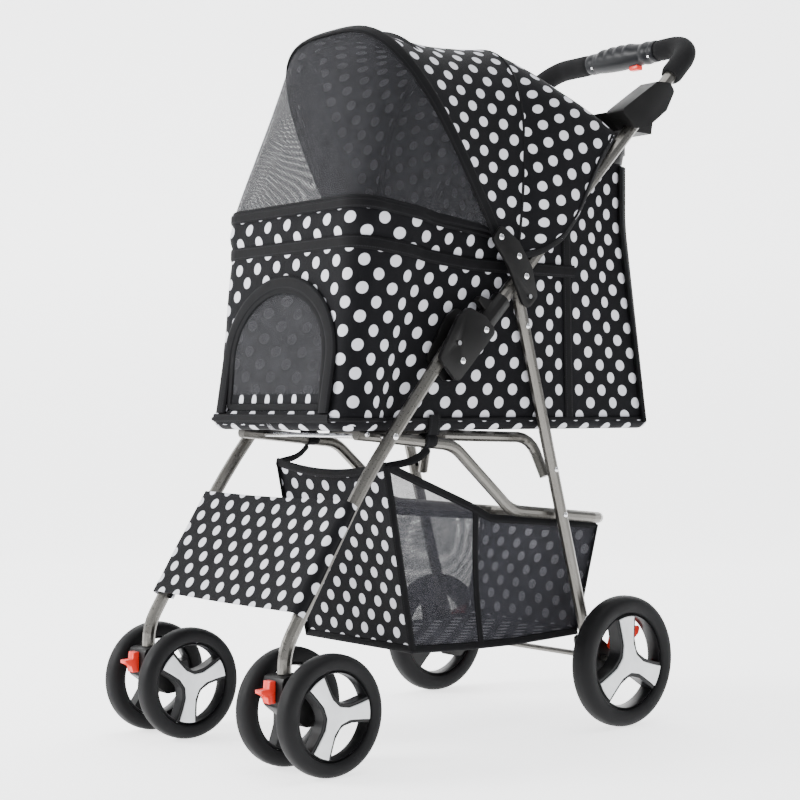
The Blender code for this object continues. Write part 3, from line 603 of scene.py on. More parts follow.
def joined(name, objects):
    """Several objects made one."""
    for other in bpy.context.selected_objects:
        other.select_set(False)
    for obj in objects:
        obj.select_set(True)
    bpy.context.view_layer.objects.active = objects[0]
    bpy.ops.object.join()
    objects[0].name = name
    return objects[0]


def applied(obj):
    """The object with its modifiers made part of its mesh."""
    graph = bpy.context.evaluated_depsgraph_get()
    done = bpy.data.meshes.new_from_object(obj.evaluated_get(graph))
    obj.modifiers.clear()
    obj.data = done
    return obj


# Carrier


def front_y(z):
    return FRONT_Y + FRONT_LEAN * (z - FLOOR_Z) / (RIM_Z - FLOOR_Z)


def rear_y(z):
    return REAR_Y - REAR_LEAN * min((z - FLOOR_Z) / (RIM_Z - FLOOR_Z), 1.0)


def plan_x(y, z):
    start = 0.3 * (z - FLOOR_Z) - 0.228
    share = within(y, start, 0.045)
    return FULL_X + (SIDE_X - FULL_X) * share * share * (3 - 2 * share)


def half_plan(z):
    """The carrier's left half at height z, from the front middle to the rear middle."""
    front, rear = front_y(z), rear_y(z)
    path = [(x, front) for x in np.linspace(0, FULL_X - CORNER, 13)]
    for turn in np.linspace(0, math.pi / 2, 9)[1:]:
        x = FULL_X - CORNER + CORNER * math.sin(turn)
        path.append((x, front + CORNER - CORNER * math.cos(turn)))
    taper_end = 0.3 * (z - FLOOR_Z) - 0.183
    path += [(plan_x(y, z), y) for y in np.linspace(front + CORNER, taper_end, 7)[1:]]
    path += [(SIDE_X, y) for y in np.linspace(taper_end, rear - CORNER, 27)[1:]]
    for turn in np.linspace(0, math.pi / 2, 8)[1:]:
        x = SIDE_X - CORNER + CORNER * math.cos(turn)
        path.append((x, rear - CORNER + CORNER * math.sin(turn)))
    path += [(x, rear) for x in np.linspace(SIDE_X - CORNER, 0, 9)[1:]]
    return path


def wall_top(x, y):
    """The walls' upper edge: level at the front, down to the canopy, up the handle."""
    if y > CANOPY.y:
        inside = 0.014 * within(y, CANOPY.y, 0.05) + 0.030 * within(y, 0.095, 0.05)
        tube = FOOT.z + (y - FOOT.y) * math.tan(HANDLE_ANGLE) - 0.002
        ceiling = 0.803 - 0.037 * within(y, 0.196, 0.016)
        return min(max(RIM_Z - 0.024, tube) + inside, ceiling)
    return RIM_Z - 0.024 * within(y, FRONT_Y + 0.03, CANOPY.y - FRONT_Y - 0.03)


def wall_bulge(x, y, z):
    """How far the cloth stands out of the plan: a stuffed hem below, a full rim band."""
    at_front = within(-y, 0.19, 0.03)
    hem = 0.0055 * math.exp(-(((z - FLOOR_Z - 0.010) / 0.011) ** 2))
    band = 0.0045 * math.exp(-(((z - ZIP_Z - 0.024) / 0.016) ** 2))
    pinch = -0.0030 * math.exp(-(((z - ZIP_Z) / 0.006) ** 2))
    return at_front * (hem + band + pinch)


WALL_ROWS = 40


def shell_grid():
    """The whole wall of the carrier as one grid: rows up, columns once round."""
    columns = len(half_plan(FLOOR_Z))
    rows = []
    for i in range(WALL_ROWS + 1):
        row = []
        for k in range(columns):
            x, y = half_plan(0.54)[k]
            top = wall_top(x, y)
            z = FLOOR_Z + (top - FLOOR_Z) * i / WALL_ROWS
            x, y = half_plan(z)[k]
            row.append((x, y, z))
        far = [(-x, y, z) for x, y, z in row[-2:0:-1]]
        rows.append(row + far)
    return np.array(rows)


def plan_normals(grid):
    """Level outward normals of a closed grid."""
    after, before = np.roll(grid, -1, axis=1), np.roll(grid, 1, axis=1)
    way = after - before
    normal = np.stack([way[..., 1], -way[..., 0], np.zeros(way.shape[:2])], axis=2)
    normal /= np.linalg.norm(normal, axis=2, keepdims=True)
    centre = grid.mean(axis=(0, 1))
    out = np.sign((normal * (grid - centre)).sum(axis=2, keepdims=True))
    return normal * out


SHELL = shell_grid()
SHELL_OUT = plan_normals(SHELL)


def shaped_shell():
    """The wall grid with its bulges and the small folds of real cloth."""
    grid = rough_up(SHELL, -0.0016, 22.0, 3.0, SHELL_OUT)
    grid = rough_up(grid, -0.0012, 60.0, 8.0, SHELL_OUT)
    for i in range(grid.shape[0]):
        for k in range(grid.shape[1]):
            grid[i, k] += SHELL_OUT[i, k] * wall_bulge(*SHELL[i, k])
    return grid


def shell_point(column, z, lift=0.0):
    """A point on the carrier's wall by column and height, moved out by lift."""
    columns = SHELL.shape[1]
    half = len(half_plan(FLOOR_Z))
    k = column % columns
    x, y = half_plan(z)[k] if k < half else half_plan(z)[columns - k]
    x = x if k < half else -x
    out = Vector(SHELL_OUT[0, k])
    return Vector((x, y, z)) + out * (lift + wall_bulge(x, y, z))


def from_middle(point):
    """Outwards from the carrier's upright middle line."""
    nearest = Vector((0, min(max(point.y, -0.14), 0.16), point.z))
    return point - nearest


def door_outline(half, low, spring, rise, steps=24):
    """A door shape as (x, z): straight sides under a round top, from low left round."""
    turns = np.linspace(0, math.pi, steps)
    arch = [(half * math.cos(t), spring + rise * math.sin(t)) for t in turns]
    return [(half, low), *arch, (-half, low)]


def flattens(obj, body):
    """Rides on a body, with its own copy of its mesh."""
    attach(obj, body)
    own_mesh(obj)


def cabin(obj):
    """A piece of the carrier's dotted cloth, or one of its bindings."""
    flattens(obj, "carrier")


def prism(name, outline, y_low, y_high):
    """A closed shape across Y from an (x, z) outline, for cutting."""
    points = [(x, y, z) for y in (y_low, y_high) for x, z in outline]
    return mesh_object(name, points, bands(2, len(outline)), TAPE, smooth=False)


def cut(obj, tool):
    change = obj.modifiers.new("cut", "BOOLEAN")
    change.operation, change.solver, change.object = "DIFFERENCE", "EXACT", tool
    bpy.context.view_layer.update()
    applied(obj)
    bpy.data.objects.remove(tool)


def carrier_walls():
    grid = shaped_shell()
    rear_middle = grid.shape[1] // 2
    grid = np.roll(grid, -rear_middle, axis=1)
    grid = np.concatenate([grid, grid[:, :1]], axis=1)
    reference = grid[WALL_ROWS // 2]
    steps = run_of(reference, 0)
    u = np.concatenate([[0], np.cumsum(steps)]) - steps.sum() / 2
    uv = np.stack([np.broadcast_to(u, grid.shape[:2]), grid[..., 2]], axis=2)
    middle = np.array([0.0, 0.0, 0.55])
    walls = cloth_sheet("carrier_walls", grid, DOTTED, 0.0016, False, uv, middle)
    half, low, rise = 0.104, 0.4225, 0.093
    cut(walls, prism("door_cutter", door_outline(half, low, DOOR_SPRING, rise), -0.33, -0.20))
    cabin(walls)
    stands_for = [f"carrier_{part}" for part in ("front_wall", "wall_left", "wall_right")]
    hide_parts(*stands_for, "carrier_rear_wall")
    opening = half * 2 * (DOOR_SPRING - low) + math.pi / 2 * half * rise
    area = grid_area(grid) - opening
    declare(grid, area)


def carrier_underside():
    """The cloth under the floor board, rolled round the board's edge."""
    columns = SHELL.shape[1]
    levels = ((-0.0022, 0.0055), (-0.0016, 0.0015), (0.0012, -0.0025), (0.0055, -0.0054))
    levels += ((0.0110, -0.0062), (0.0170, -0.0050), (0.0230, -0.0032), (0.0300, -0.0026))
    rows = []
    for inset, drop in levels:
        row = []
        for k in range(columns):
            point = Vector(SHELL[0, k]) - Vector(SHELL_OUT[0, k]) * inset
            row.append((point.x, point.y, FLOOR_Z + drop))
        rows.append(row)
    last = rows[-1]
    for share in (0.75, 0.5, 0.25, 0.02):
        rows.append([(x * share, y * share + 0.02 * (1 - share), z) for x, y, z in last])
    grid = np.array(rows)
    u = np.concatenate([[0], np.cumsum(run_of(grid[0], 0))])
    down = np.concatenate([[0], np.cumsum(run_of(grid[:, 5], 0))])
    uv = np.stack(np.meshgrid(u, FLOOR_Z + 0.0055 - down), axis=2)
    uv[len(levels):] = grid[len(levels):, :, :2]
    piece = cloth_sheet("carrier_underside", grid, DOTTED, 0.0010, True, uv, (0.0, 0.0, 0.5))
    cabin(piece)


def wall_tapes():
    """Bindings and zip tapes sewn on the carrier's walls."""
    columns = SHELL.shape[1]
    half = len(half_plan(FLOOR_Z))
    side_end = 13 + 8 + 6 + 18
    around = range(-side_end, side_end + 1)
    rim = []
    for k in around:
        x, y = half_plan(0.66)[abs(k)] if abs(k) < half else half_plan(0.66)[columns - abs(k)]
        rim.append(shell_point(k, wall_top(x, y) - 0.003, 0.0012))
    cabin(tape("rim_binding", rim, from_middle, 0.013, 0.0050))
    zip_line = []
    for k in around:
        y = half_plan(ZIP_Z)[abs(k)][1]
        fall = 0.021 * within(y, FRONT_Y, 0.22)
        zip_line.append(shell_point(k, ZIP_Z - fall, 0.0010))
    cabin(tape("zip_tape", zip_line, from_middle, 0.017, 0.0036))
    ring = [shell_point(k, FLOOR_Z + 0.0077, 0.0002) for k in range(columns)]
    ring.append(ring[0])
    cabin(tape("floor_piping", ring, from_middle, 0.005, 0.0045, closed=True))
    for side, sign in SIDES.items():
        for label, width, high in (("side", 0.015, 0.0026), ("rear", 0.026, 0.0080)):
            k = column_near(0.132) if label == "side" else 54
            x, y = half_plan(0.6)[k]
            top = wall_top(x, y) - 0.004
            line = [
                shell_point(k if sign > 0 else -k, z, 0.0004)
                for z in np.linspace(FLOOR_Z + 0.004, top, 16)
            ]
            cabin(tape(f"{label}_seam_tape_{side}", line, from_middle, width, high))


def column_near(y):
    plan = half_plan(0.54)
    best = range(27, len(plan) - 15)
    return min(best, key=lambda k: abs(plan[k][1] - y))


def door():
    """The mesh door with its wide binding, and the dotted hem below the mesh."""
    half, low, rise = 0.099, 0.4275, 0.0865

    def on_front(x, z, lift):
        return Vector((x, front_y(z) - lift + 0.0012, z))

    def on_wall(x, z, lift):
        return Vector((x, front_y(z) - wall_bulge(0, FRONT_Y, z) - lift, z))

    def forward(point):
        return Vector((0, -1, 0.1))

    rows = []
    for share in np.linspace(0, 1, 15):
        z = low + share * (DOOR_SPRING + rise - low)
        above = max(z - DOOR_SPRING, 0.0) / (rise + 0.0001)
        reach = max(half * math.sqrt(max(1 - above**2, 0.0)), 0.004)
        lift = -0.0004 + 0.002 * math.sin(share * math.pi)
        rows.append([tuple(on_front(side * reach, z, lift)) for side in np.linspace(-1, 1, 25)])
    grid = np.array(rows)
    panel = cloth_sheet("door_mesh", grid, NET_DOOR, 0.0007)
    flattens(panel, "door")
    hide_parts("door_flap")
    declare(grid)
    outline = door_outline(half, low, DOOR_SPRING, rise, 30)
    edge = [on_front(x, z, 0.0022) for x, z in outline + [(half, low)]]
    flattens(tape("door_zip_tape", edge, forward, 0.010, 0.0030, closed=True), "door")
    hem_rows = [
        [tuple(on_front(x, z, 0.0016)) for x in np.linspace(-0.096, 0.096, 25)]
        for z in np.linspace(0.4295, 0.4435, 4)
    ]
    hem_grid = rough_up(np.array(hem_rows), 0.0014, 90.0, 5.0)
    hem_uv = grid_uv(hem_grid)
    hem_uv[..., 0] *= 1.45
    hem_uv[..., 1] += DOT_PITCH[1] / 2 - 0.0072
    hem = cloth_sheet("door_hem", hem_grid, DOTTED, 0.0009, uv=hem_uv)
    declare(hem_grid)
    flattens(hem, "door")
    frame_line = [on_wall(x, z, 0.0006) for x, z in door_outline(0.1115, 0.42, 0.488, 0.0975, 34)]
    cabin(tape("door_binding", frame_line, forward, 0.019, 0.0060))
    sill = [on_wall(x, 0.4135, 0.0004) for x in np.linspace(-0.124, 0.124, 20)]
    cabin(tape("door_sill_binding", sill, lambda p: Vector((0, -1, 0.0)), 0.011, 0.0040))


# Canopy


def bow_point(bow, turn, shrink=0.0):
    y, z, lean, height, half, power = bow
    c, s = math.cos(turn), math.sin(turn)
    x = (half - shrink) * math.copysign(abs(c) ** (2 / power), c)
    up = (height - shrink) * abs(s) ** (2 / power)
    return Vector((x, y - up * math.sin(lean), z + up * math.cos(lean)))


def bow_line(bow, count, shrink=0.0):
    """Points spaced evenly along a bow, from its left foot to its right."""
    fine = [bow_point(bow, t, shrink) for t in np.linspace(0, math.pi, 400)]
    return evenly(fine, count)


def hem_line(count):
    """The canopy's rear edge, over the handle tubes and along the front of the tray."""
    half = [
        (0.1575, 0.0240, 0.6250),
        (0.1600, 0.0580, 0.6330),
        (0.1640, 0.0900, 0.6520),
        (0.1645, 0.1190, 0.6850),
        (0.1640, 0.1400, 0.7230),
        (0.1625, 0.1650, 0.7640),
        (0.1590, 0.1940, 0.7990),
        (0.1460, 0.2060, 0.8065),
        (0.1100, 0.2070, 0.8080),
        (0.0500, 0.2070, 0.8090),
    ]
    path = [Vector(p) for p in half]
    path += [Vector((-p.x, p.y, p.z)) for p in reversed(path)]
    return evenly(path, count)


def lofted(first, last, rows, sag, sag_at=0.5, at_sides=1.0):
    """A grid of cloth between two edges, pulled in by sag where it spans."""
    first = np.array([tuple(p) for p in first])
    last = np.array([tuple(p) for p in last])
    middle = np.array([0.0, CANOPY.y + 0.03, CANOPY.z])
    grid = []
    for share in np.linspace(0, 1, rows + 1):
        row = first + (last - first) * share
        inward = middle - row
        inward /= np.linalg.norm(inward, axis=1, keepdims=True)
        span = np.linalg.norm(last - first, axis=1, keepdims=True)
        crown = np.sin(np.linspace(0, math.pi, len(row)))[:, None] ** 1.5
        amount = at_sides + (1 - at_sides) * crown
        grid.append(row + inward * amount * sag * span * math.sin(math.pi * share ** sag_at))
    return np.array(grid)


CANOPY_COLUMNS = 72


def canopy_covers():
    front = bow_line(FRONT_BOW, CANOPY_COLUMNS)
    middle = bow_line(MID_BOW, CANOPY_COLUMNS)
    inside = (0.0, CANOPY.y, CANOPY.z + 0.05)
    grid = lofted(middle, front, 18, 0.035, 1.0)
    grid = rough_up(grid, -0.0022, 20.0, 1.0)
    cover = cloth_sheet("canopy_front_panel", grid, DOTTED, 0.0010, inside=inside)
    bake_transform(cover)
    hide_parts("canopy_front_cover")
    declare(grid)
    hem = hem_line(CANOPY_COLUMNS)
    grid = lofted(hem, middle, 26, -0.075, 1.0, 0.10)
    grid = rough_up(grid, -0.0030, 17.0, 6.0)
    rear = cloth_sheet("canopy_rear_panel", grid, DOTTED, 0.0010, inside=inside)
    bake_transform(rear)
    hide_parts("canopy_rear_cover")
    declare(grid)


def from_canopy(point):
    return point - Vector((0, CANOPY.y, CANOPY.z))


def canopy_tapes():
    front = bow_line(FRONT_BOW, 60)
    middle = bow_line(MID_BOW, 60)
    facing = tape("canopy_front_binding", front, from_canopy, 0.017, 0.0050)
    lining = [p + Vector((0, 0.023, 0.004)) for p in bow_line(FRONT_BOW, 60, 0.0115)]
    band = tape("canopy_front_facing", lining[3:-3], from_canopy, 0.044, 0.0018)
    seam = tape("canopy_mid_seam", middle, from_canopy, 0.0055, 0.0040)
    hem = tape("canopy_rear_hem", hem_line(60), from_canopy, 0.010, 0.0036)
    for piece, body in (
        (facing, "canopy_front"),
        (band, "canopy_front"),
        (seam, "canopy_mid"),
        (hem, "handle"),
    ):
        belongs(piece, body, "dotted_cloth")


def rim_line(count):
    """The lower edge of the front mesh, round the carrier's rim between the pivots."""
    half = len(half_plan(FLOOR_Z))
    end = next(k for k in range(20, half) if half_plan(RIM_Z)[k][1] > CANOPY.y - 0.02)
    path = []
    for k in range(-end, end + 1):
        x, y = half_plan(RIM_Z)[abs(k)]
        path.append(shell_point(k, wall_top(x, y) + 0.002, 0.010 * (abs(k) / end) ** 6))
    ends = [Vector((s * 0.1530, CANOPY.y - 0.004, CANOPY.z + 0.008)) for s in (-1, 1)]
    path = [ends[0], *path, ends[1]]
    return evenly(path, count)


def canopy_net():
    low = rim_line(CANOPY_COLUMNS)
    high = list(reversed(bow_line(FRONT_BOW, CANOPY_COLUMNS, 0.0005)))
    high = [p - Vector((0, 0.003, 0)) for p in high]
    grid = lofted(low, high, 16, -0.02, 1.0)
    net = cloth_sheet("canopy_net", grid, NET, 0.0006, inside=(0.0, 0.0, 0.70))
    edge = tape("canopy_net_hem", low, from_middle, 0.011, 0.0040)
    for piece in (net, edge):
        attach(piece, "canopy_front")
        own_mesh(piece)
    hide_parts("canopy_mesh_front")
    declare(grid)


# Basket and leg panel


# The basket's mouth and floor from front to rear, as (y, z)
BASKET = {
    "rim": [(-0.1725, 0.3540), (-0.030, 0.2985), (0.003, 0.2820), (0.206, 0.2650)],
    "floor": [(-0.1260, 0.1210), (-0.040, 0.1170), (0.050, 0.1160), (0.1690, 0.1200)],
}


def at_y(profile, share):
    """A point by share along a (y, z) profile's length in y."""
    ys = [p[0] for p in profile]
    y = ys[0] + (ys[-1] - ys[0]) * share
    return y, float(np.interp(y, ys, [p[1] for p in profile]))


BASKET_TOP_X = 0.1160
BASKET_LOW_X = 0.1115


def basket_side_grid(sign):
    rows = []
    for up in np.linspace(0, 1, 15):
        row = []
        for share in np.linspace(0, 1, 41):
            y0, z0 = at_y(BASKET["floor"], share)
            y1, z1 = at_y(BASKET["rim"], share)
            sag = 0.006 * math.sin(math.pi * up) * math.sin(math.pi * share)
            x = BASKET_LOW_X + (BASKET_TOP_X - BASKET_LOW_X) * up - sag
            z = z0 + (z1 - z0) * up
            row.append((sign * x, y0 + (y1 - y0) * up, z))
        rows.append(row)
    return np.array(rows)


def basket_end_grid(share, inward):
    """The front or rear panel of the basket, with its mouth hanging in a curve."""
    y0, z0 = at_y(BASKET["floor"], share)
    y1, z1 = at_y(BASKET["rim"], share)
    rows = []
    for up in np.linspace(0, 1, 15):
        row = []
        for side in np.linspace(-1, 1, 25):
            half = BASKET_LOW_X + (BASKET_TOP_X - BASKET_LOW_X) * up
            droop = 0.012 * (1 - side * side) * up
            bow = 0.008 * (1 - side * side) * math.sin(math.pi * up)
            z = z0 + (z1 - z0) * up - droop
            row.append((side * half, y0 + (y1 - y0) * up + inward * bow, z))
        rows.append(row)
    return np.array(rows)


def basket():
    floor = []
    for share in np.linspace(0, 1, 25):
        y, z = at_y(BASKET["floor"], share)
        row = []
        for side in np.linspace(-1, 1, 21):
            sag = -0.004 * (1 - side * side) * math.sin(math.pi * share)
            row.append((side * BASKET_LOW_X, y, z + sag))
        floor.append(row)
    floor = np.array(floor)
    front, rear = basket_end_grid(0.0, 1), basket_end_grid(1.0, -1)
    left, right = basket_side_grid(1), basket_side_grid(-1)
    for name, grid, finish, thick in (
        ("basket_front", front, DOTTED_SMALL, 0.0014),
        ("basket_rear", rear, DOTTED_SMALL, 0.0014),
        ("basket_floor", floor, DOTTED_SMALL, 0.0014),
        ("basket_side_left", left, NET_DENSE, 0.0008),
        ("basket_side_right", right, NET_DENSE, 0.0008),
    ):
        grid = rough_up(grid, 0.0015, 30.0, len(name))
        piece = cloth_sheet(name, grid, finish, thick, inside=(0.0, 0.02, 0.22))
        belongs(piece, "link", "dotted_cloth" if finish == DOTTED_SMALL else "mesh_cloth")
        declare(grid)
        if name == "basket_front":
            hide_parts("storage_basket")

    def outward(point):
        return Vector((point.x, (point.y - 0.02) * 0.5, 0.02))

    rim = np.concatenate([front[-1], left[-1], rear[-1, ::-1], right[-1, ::-1]])
    belongs(tape("basket_rim_binding", rim, outward, 0.011, 0.0040, closed=True), "link")
    base = np.concatenate([floor[0], floor[:, -1], floor[-1, ::-1], floor[::-1, 0]])
    belongs(tape("basket_floor_binding", base, outward, 0.010, 0.0040, closed=True), "link")
    for side, grid in (("left", left), ("right", right)):
        for label, column in (("front", 0), ("seam", 16), ("rear", 40)):
            name = f"basket_{label}_tape_{side}"
            belongs(tape(name, grid[:, column], outward, 0.009, 0.0030), "link")


def leg_panel():
    """The panel over both front legs, wrapped round them and sewn behind."""
    along = Vector((0, 0.5346, 0.8451))
    out = Vector((0, -0.8451, 0.5346))
    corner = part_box("leg_panel")[0]
    below = Vector((0, corner.y, corner.z)) - LEG_FOOT
    wrap = 0.0100
    low = LEG_FOOT + along * (below.dot(along) - 0.0065) + out * wrap
    half = FRAME_X
    ring = []
    for x in np.linspace(-half, half, 33):
        dip = 0.0035 * math.cos(math.pi * x / (2 * half))
        ring.append((x, -dip))
    arc = []
    for turn in np.linspace(0, math.pi * 1.02, 10)[1:]:
        arc.append((half + wrap * math.sin(turn), -wrap + wrap * math.cos(turn)))
    tail = [(half - 0.010, -0.0203), (half - 0.020, -0.0198)]
    right = arc + tail
    left = [(-x, d) for x, d in reversed(right)]
    section = left + ring + right
    rows = []
    for share in np.linspace(0, 1, 17):
        base = low + along * (0.150 * share)
        rows.append([tuple(base + Vector((x, 0, 0)) + out * d) for x, d in section])
    grid = np.array(rows)
    grid = rough_up(grid, 0.0012, 26.0, 2.0)
    piece = cloth_sheet("leg_cover", grid, DOTTED_SMALL, 0.0010, inside=(0.0, 0.0, 0.1))
    belongs(piece, "front_frame", "dotted_cloth", "leg_panel")
    declare(grid)


# Floor pad


def pad_cushion():
    """The floor pad: a rounded slab, puffed up by a short cloth simulation."""
    low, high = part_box("floor_pad")
    half_x, half_y = (high.x - low.x) / 2 - 0.002, (high.y - low.y) / 2 - 0.002
    centre = (low + high) / 2
    size = (half_x * 2, half_y * 2, 0.010)
    pad = block("floor_cushion", size, (centre.x, centre.y, low.z + 0.006), 0.028)
    remesh = pad.modifiers.new("remesh", "REMESH")
    remesh.mode, remesh.voxel_size = "VOXEL", 0.0055
    bpy.context.view_layer.update()
    applied(pad)
    cloth = pad.modifiers.new("cloth", "CLOTH")
    cloth.settings.use_pressure = True
    cloth.settings.uniform_pressure_force = 4.0
    cloth.settings.quality = 5
    cloth.settings.mass = 0.3
    cloth.settings.effector_weights.gravity = 0.0
    cloth.point_cache.frame_start, cloth.point_cache.frame_end = 1, 16
    for frame_number in range(1, 17):
        bpy.context.scene.frame_set(frame_number)
    applied(pad)
    bpy.context.scene.frame_set(1)
    points = np.array([v.co for v in pad.data.vertices])
    least, most = (low.x, low.y, low.z + 0.0004), (high.x, high.y, high.z + 0.004)
    points = np.clip(points, least, most)
    pad.data.vertices.foreach_set("co", points.astype(np.float32).ravel())
    layer = pad.data.uv_layers.new(name="cloth")
    for loop in pad.data.loops:
        place = pad.data.vertices[loop.vertex_index].co
        layer.data[loop.index].uv = (place.x, place.y)
    pad.data.materials.append(DOTTED_DARK)
    pad.data.shade_smooth()
    belongs(pad, "carrier", "dotted_cloth", "floor_pad")


# Wheels


def wheel(body, sign, turn):
    """A foam tyre, an open black hub, and a silver three-armed plate on its outer face."""
    low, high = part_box(body + "_tyre")
    centre = (low + high) / 2
    radius = (high.z - low.z) / 2
    half = (high.x - low.x) / 2
    rim = radius * 0.735
    profile = [(-half * 0.60, rim), (-half * 0.86, rim + 0.0010), (-half * 0.95, rim + 0.0032)]
    for step in np.linspace(-math.pi / 2, math.pi / 2, 19):
        across = math.copysign(abs(math.sin(step)) ** 0.75, step)
        profile.append((half * across, radius * (0.855 + 0.145 * abs(math.cos(step)) ** 0.75)))
    profile += [(half * 0.95, rim + 0.0032), (half * 0.86, rim + 0.0010), (half * 0.60, rim)]
    tyre = turned(body + "_tread", profile, centre, TYRE, 72)
    hub = wheel_hub(body + "_centre", centre, radius, half, sign, turn)
    face = (half * 0.80, half * 0.97)
    spokes = spoke_shape(body + "_spokes", centre, radius * 0.695, radius, face, sign, turn)
    spokes.data.materials.clear()
    spokes.data.materials.append(PEARL)
    for piece, node, name in (
        (tyre, "_tyre", "tyre_rubber"),
        (hub, "_hub", "wheel_silver"),
        (spokes, None, "wheel_silver"),
    ):
        belongs(piece, body, name, *([body + node] if node else []))


def arm_half_width(out):
    """Half an arm's width at a distance out from the axle, both as shares of the wheel."""
    return 0.098 + 0.064 * max(0.0, (out - 0.22) / 0.47) ** 1.4


def spoke_shape(name, centre, reach, radius, x_range, sign, start, border=0.0):
    """Three waisted arms joined at the middle by rounded corners, as one plate."""
    outline = []
    for arm in range(3):
        turn = start + arm * 2 * math.pi / 3
        way = Vector((0, math.cos(turn), math.sin(turn)))
        side = Vector((0, -math.sin(turn), math.cos(turn)))
        edge = [
            (out * radius, (arm_half_width(out) + border) * radius)
            for out in np.linspace(0.27 + border, reach / radius, 9)
        ]
        open_angle = math.asin(min(edge[-1][1] / reach, 0.9))
        tip_turns = np.linspace(-open_angle, open_angle, 7)
        tip = [(reach * math.cos(a), reach * math.sin(a)) for a in tip_turns]
        outline += [way * a - side * b for a, b in edge[:-1]]
        outline += [way * a + side * b for a, b in tip]
        outline += [way * a + side * b for a, b in reversed(edge[:-1])]
        for share in (-0.5, 0.0, 0.5):
            after = turn + math.pi / 3 + share * 0.45
            out = radius * (0.172 + border * 1.15 + 0.028 * abs(share))
            outline.append(Vector((0, math.cos(after), math.sin(after))) * out)
    points = []
    for x in sorted((sign * x_range[0], sign * x_range[1])):
        points += [Vector(centre) + p + Vector((x, 0, 0)) for p in outline]
    plate = mesh_object(name, points, bands(2, len(outline)), HUB_BLACK)
    plate.data.set_sharp_from_angle(angle=math.radians(30))
    round_edge = plate.modifiers.new("edge", "BEVEL")
    round_edge.width, round_edge.segments, round_edge.limit_method = 0.0008, 2, "ANGLE"
    bpy.context.view_layer.update()
    return applied(plate)


def wheel_hub(name, centre, radius, half, sign, turn):
    """The black moulding: an outer ring, three arms and a boss, open between the arms."""
    rim = radius * 0.735
    section = [(0.70, rim * 0.955), (0.62, rim - 0.0004)]
    edge = [(-half * x, r) for x, r in section] + [(half * x, r) for x, r in section[::-1]]
    edge += [(half * 0.40, rim * 0.930), (-half * 0.40, rim * 0.930)]
    ring = turned(name, edge, centre, HUB_BLACK, 72)
    section = [(0.96, 0.0003), (0.96, radius * 0.13), (0.70, radius * 0.16)]
    edge = [(-half * x, r) for x, r in section] + [(half * x, r) for x, r in section[::-1]]
    boss = turned(name + "_boss", edge, centre, HUB_BLACK, 40)
    depth = (-half * 0.55, half * 0.80)
    arms = spoke_shape(name + "_arms", centre, rim * 0.97, radius, depth, sign, turn, 0.055)
    return joined(name, [ring, boss, arms])


def wheels():
    for side, sign in SIDES.items():
        wheel("rear_wheel_" + side, sign, math.radians(-24))
        wheel("front_outer_wheel_" + side, sign, math.radians(4))
        wheel("front_inner_wheel_" + side, -sign, math.radians(20))


# Hard parts


def dress_nodes():
    """Finishes and softened edges for the CAD parts that show as they are."""
    finishes = {
        "front_leg": TUBE,
        "rear_leg_pin": CHROME,
        "rear_leg": TUBE,
        "handle_tube": TUBE,
        "lower_link_tube": TUBE,
        "seat_frame_tube": TUBE,
        "link_cross_rod": CHROME,
        "fold_pin": CHROME,
        "caster_axle": CHROME,
        "rear_axle": TUBE,
        "foam_grip": FOAM,
        "swivel_lock": RED,
        "brake_lever": RED,
        "release_button": RED,
        "floor_board": BOARD,
    }
    edged = ("caster_housing", "fold_bracket", "side_bracket", "axle_bracket", "parent_tray")
    edged += ("swivel_lock", "brake_lever", "release_button", "lock_sleeve")
    for name, obj in nodes.items():
        chosen = next((v for k, v in finishes.items() if name.startswith(k)), BLACK)
        obj.data.materials.clear()
        obj.data.materials.append(chosen)
        obj.data.shade_smooth()
        obj.data.set_sharp_from_angle(angle=math.radians(35))
        if name.startswith(edged):
            weld = obj.modifiers.new("weld", "WELD")
            weld.merge_threshold = 0.00001
            edge = obj.modifiers.new("edge", "BEVEL")
            edge.width, edge.segments = (0.0030, 4) if name == "parent_tray" else (0.0008, 2)
            edge.limit_method, edge.angle_limit = "ANGLE", math.radians(30)
            edge.use_clamp_overlap = True


def rivets(name, places, body, radius=0.0042):
    """Domed rivet heads on one body, facing out or in along X."""
    parts = []
    for i, (x, y, z, way) in enumerate(places):
        profile = [(0.0, 0.0002), (0.0, radius), (way * 0.0006, radius)]
        for turn in np.linspace(0.15, math.pi / 2, 5):
            lift = way * (0.0006 + 0.0016 * math.sin(turn))
            profile.append((lift, max(radius * math.cos(turn), 0.0002)))
        parts.append(turned(f"{name}_{i}", profile, (x, y, z), CHROME, 20))
    heads = joined(name, parts)
    belongs(heads, body, "rivet_steel")


def all_rivets():
    handle, legs, rear, link = [], [], [], []
    bracket_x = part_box("fold_bracket_left")[1].x
    plate_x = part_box("side_bracket_left")[1].x
    leg_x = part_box("front_leg_left")[1].x
    rear_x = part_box("rear_leg_left")[1].x
    link_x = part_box("lower_link_tube")[1].x
    for sign in (1, -1):
        for along, behind in ((-0.0105, 0.0), (0.046, 0.0)):
            p = on_handle(along, behind)
            handle.append((sign * bracket_x, p.y, p.z, sign))
        for along, behind in ((0.147, 0.0), (0.156, -0.027), (0.1500, -0.0654)):
            p = on_handle(along, behind)
            handle.append((sign * plate_x, p.y, p.z, sign))
        legs.append((sign * leg_x, LINK.y, LINK.z, sign))
        for z in (0.534, SEAT.z, 0.2838, 0.1417):
            share = (REAR.z - z) / (REAR.z - SEAT.z)
            y = REAR.y + (SEAT.y - REAR.y) * share
            rear.append((sign * (rear_x - 0.0003), y, z, sign))
        link.append((sign * (link_x - 0.0003), -0.215, 0.3944, sign))
    rivets("handle_rivets", handle, "handle")
    rivets("leg_rivets", legs, "front_frame")
    rivets("rear_rivets", rear, "rear_frame", 0.0036)
    rivets("link_rivets", link, "link", 0.0036)


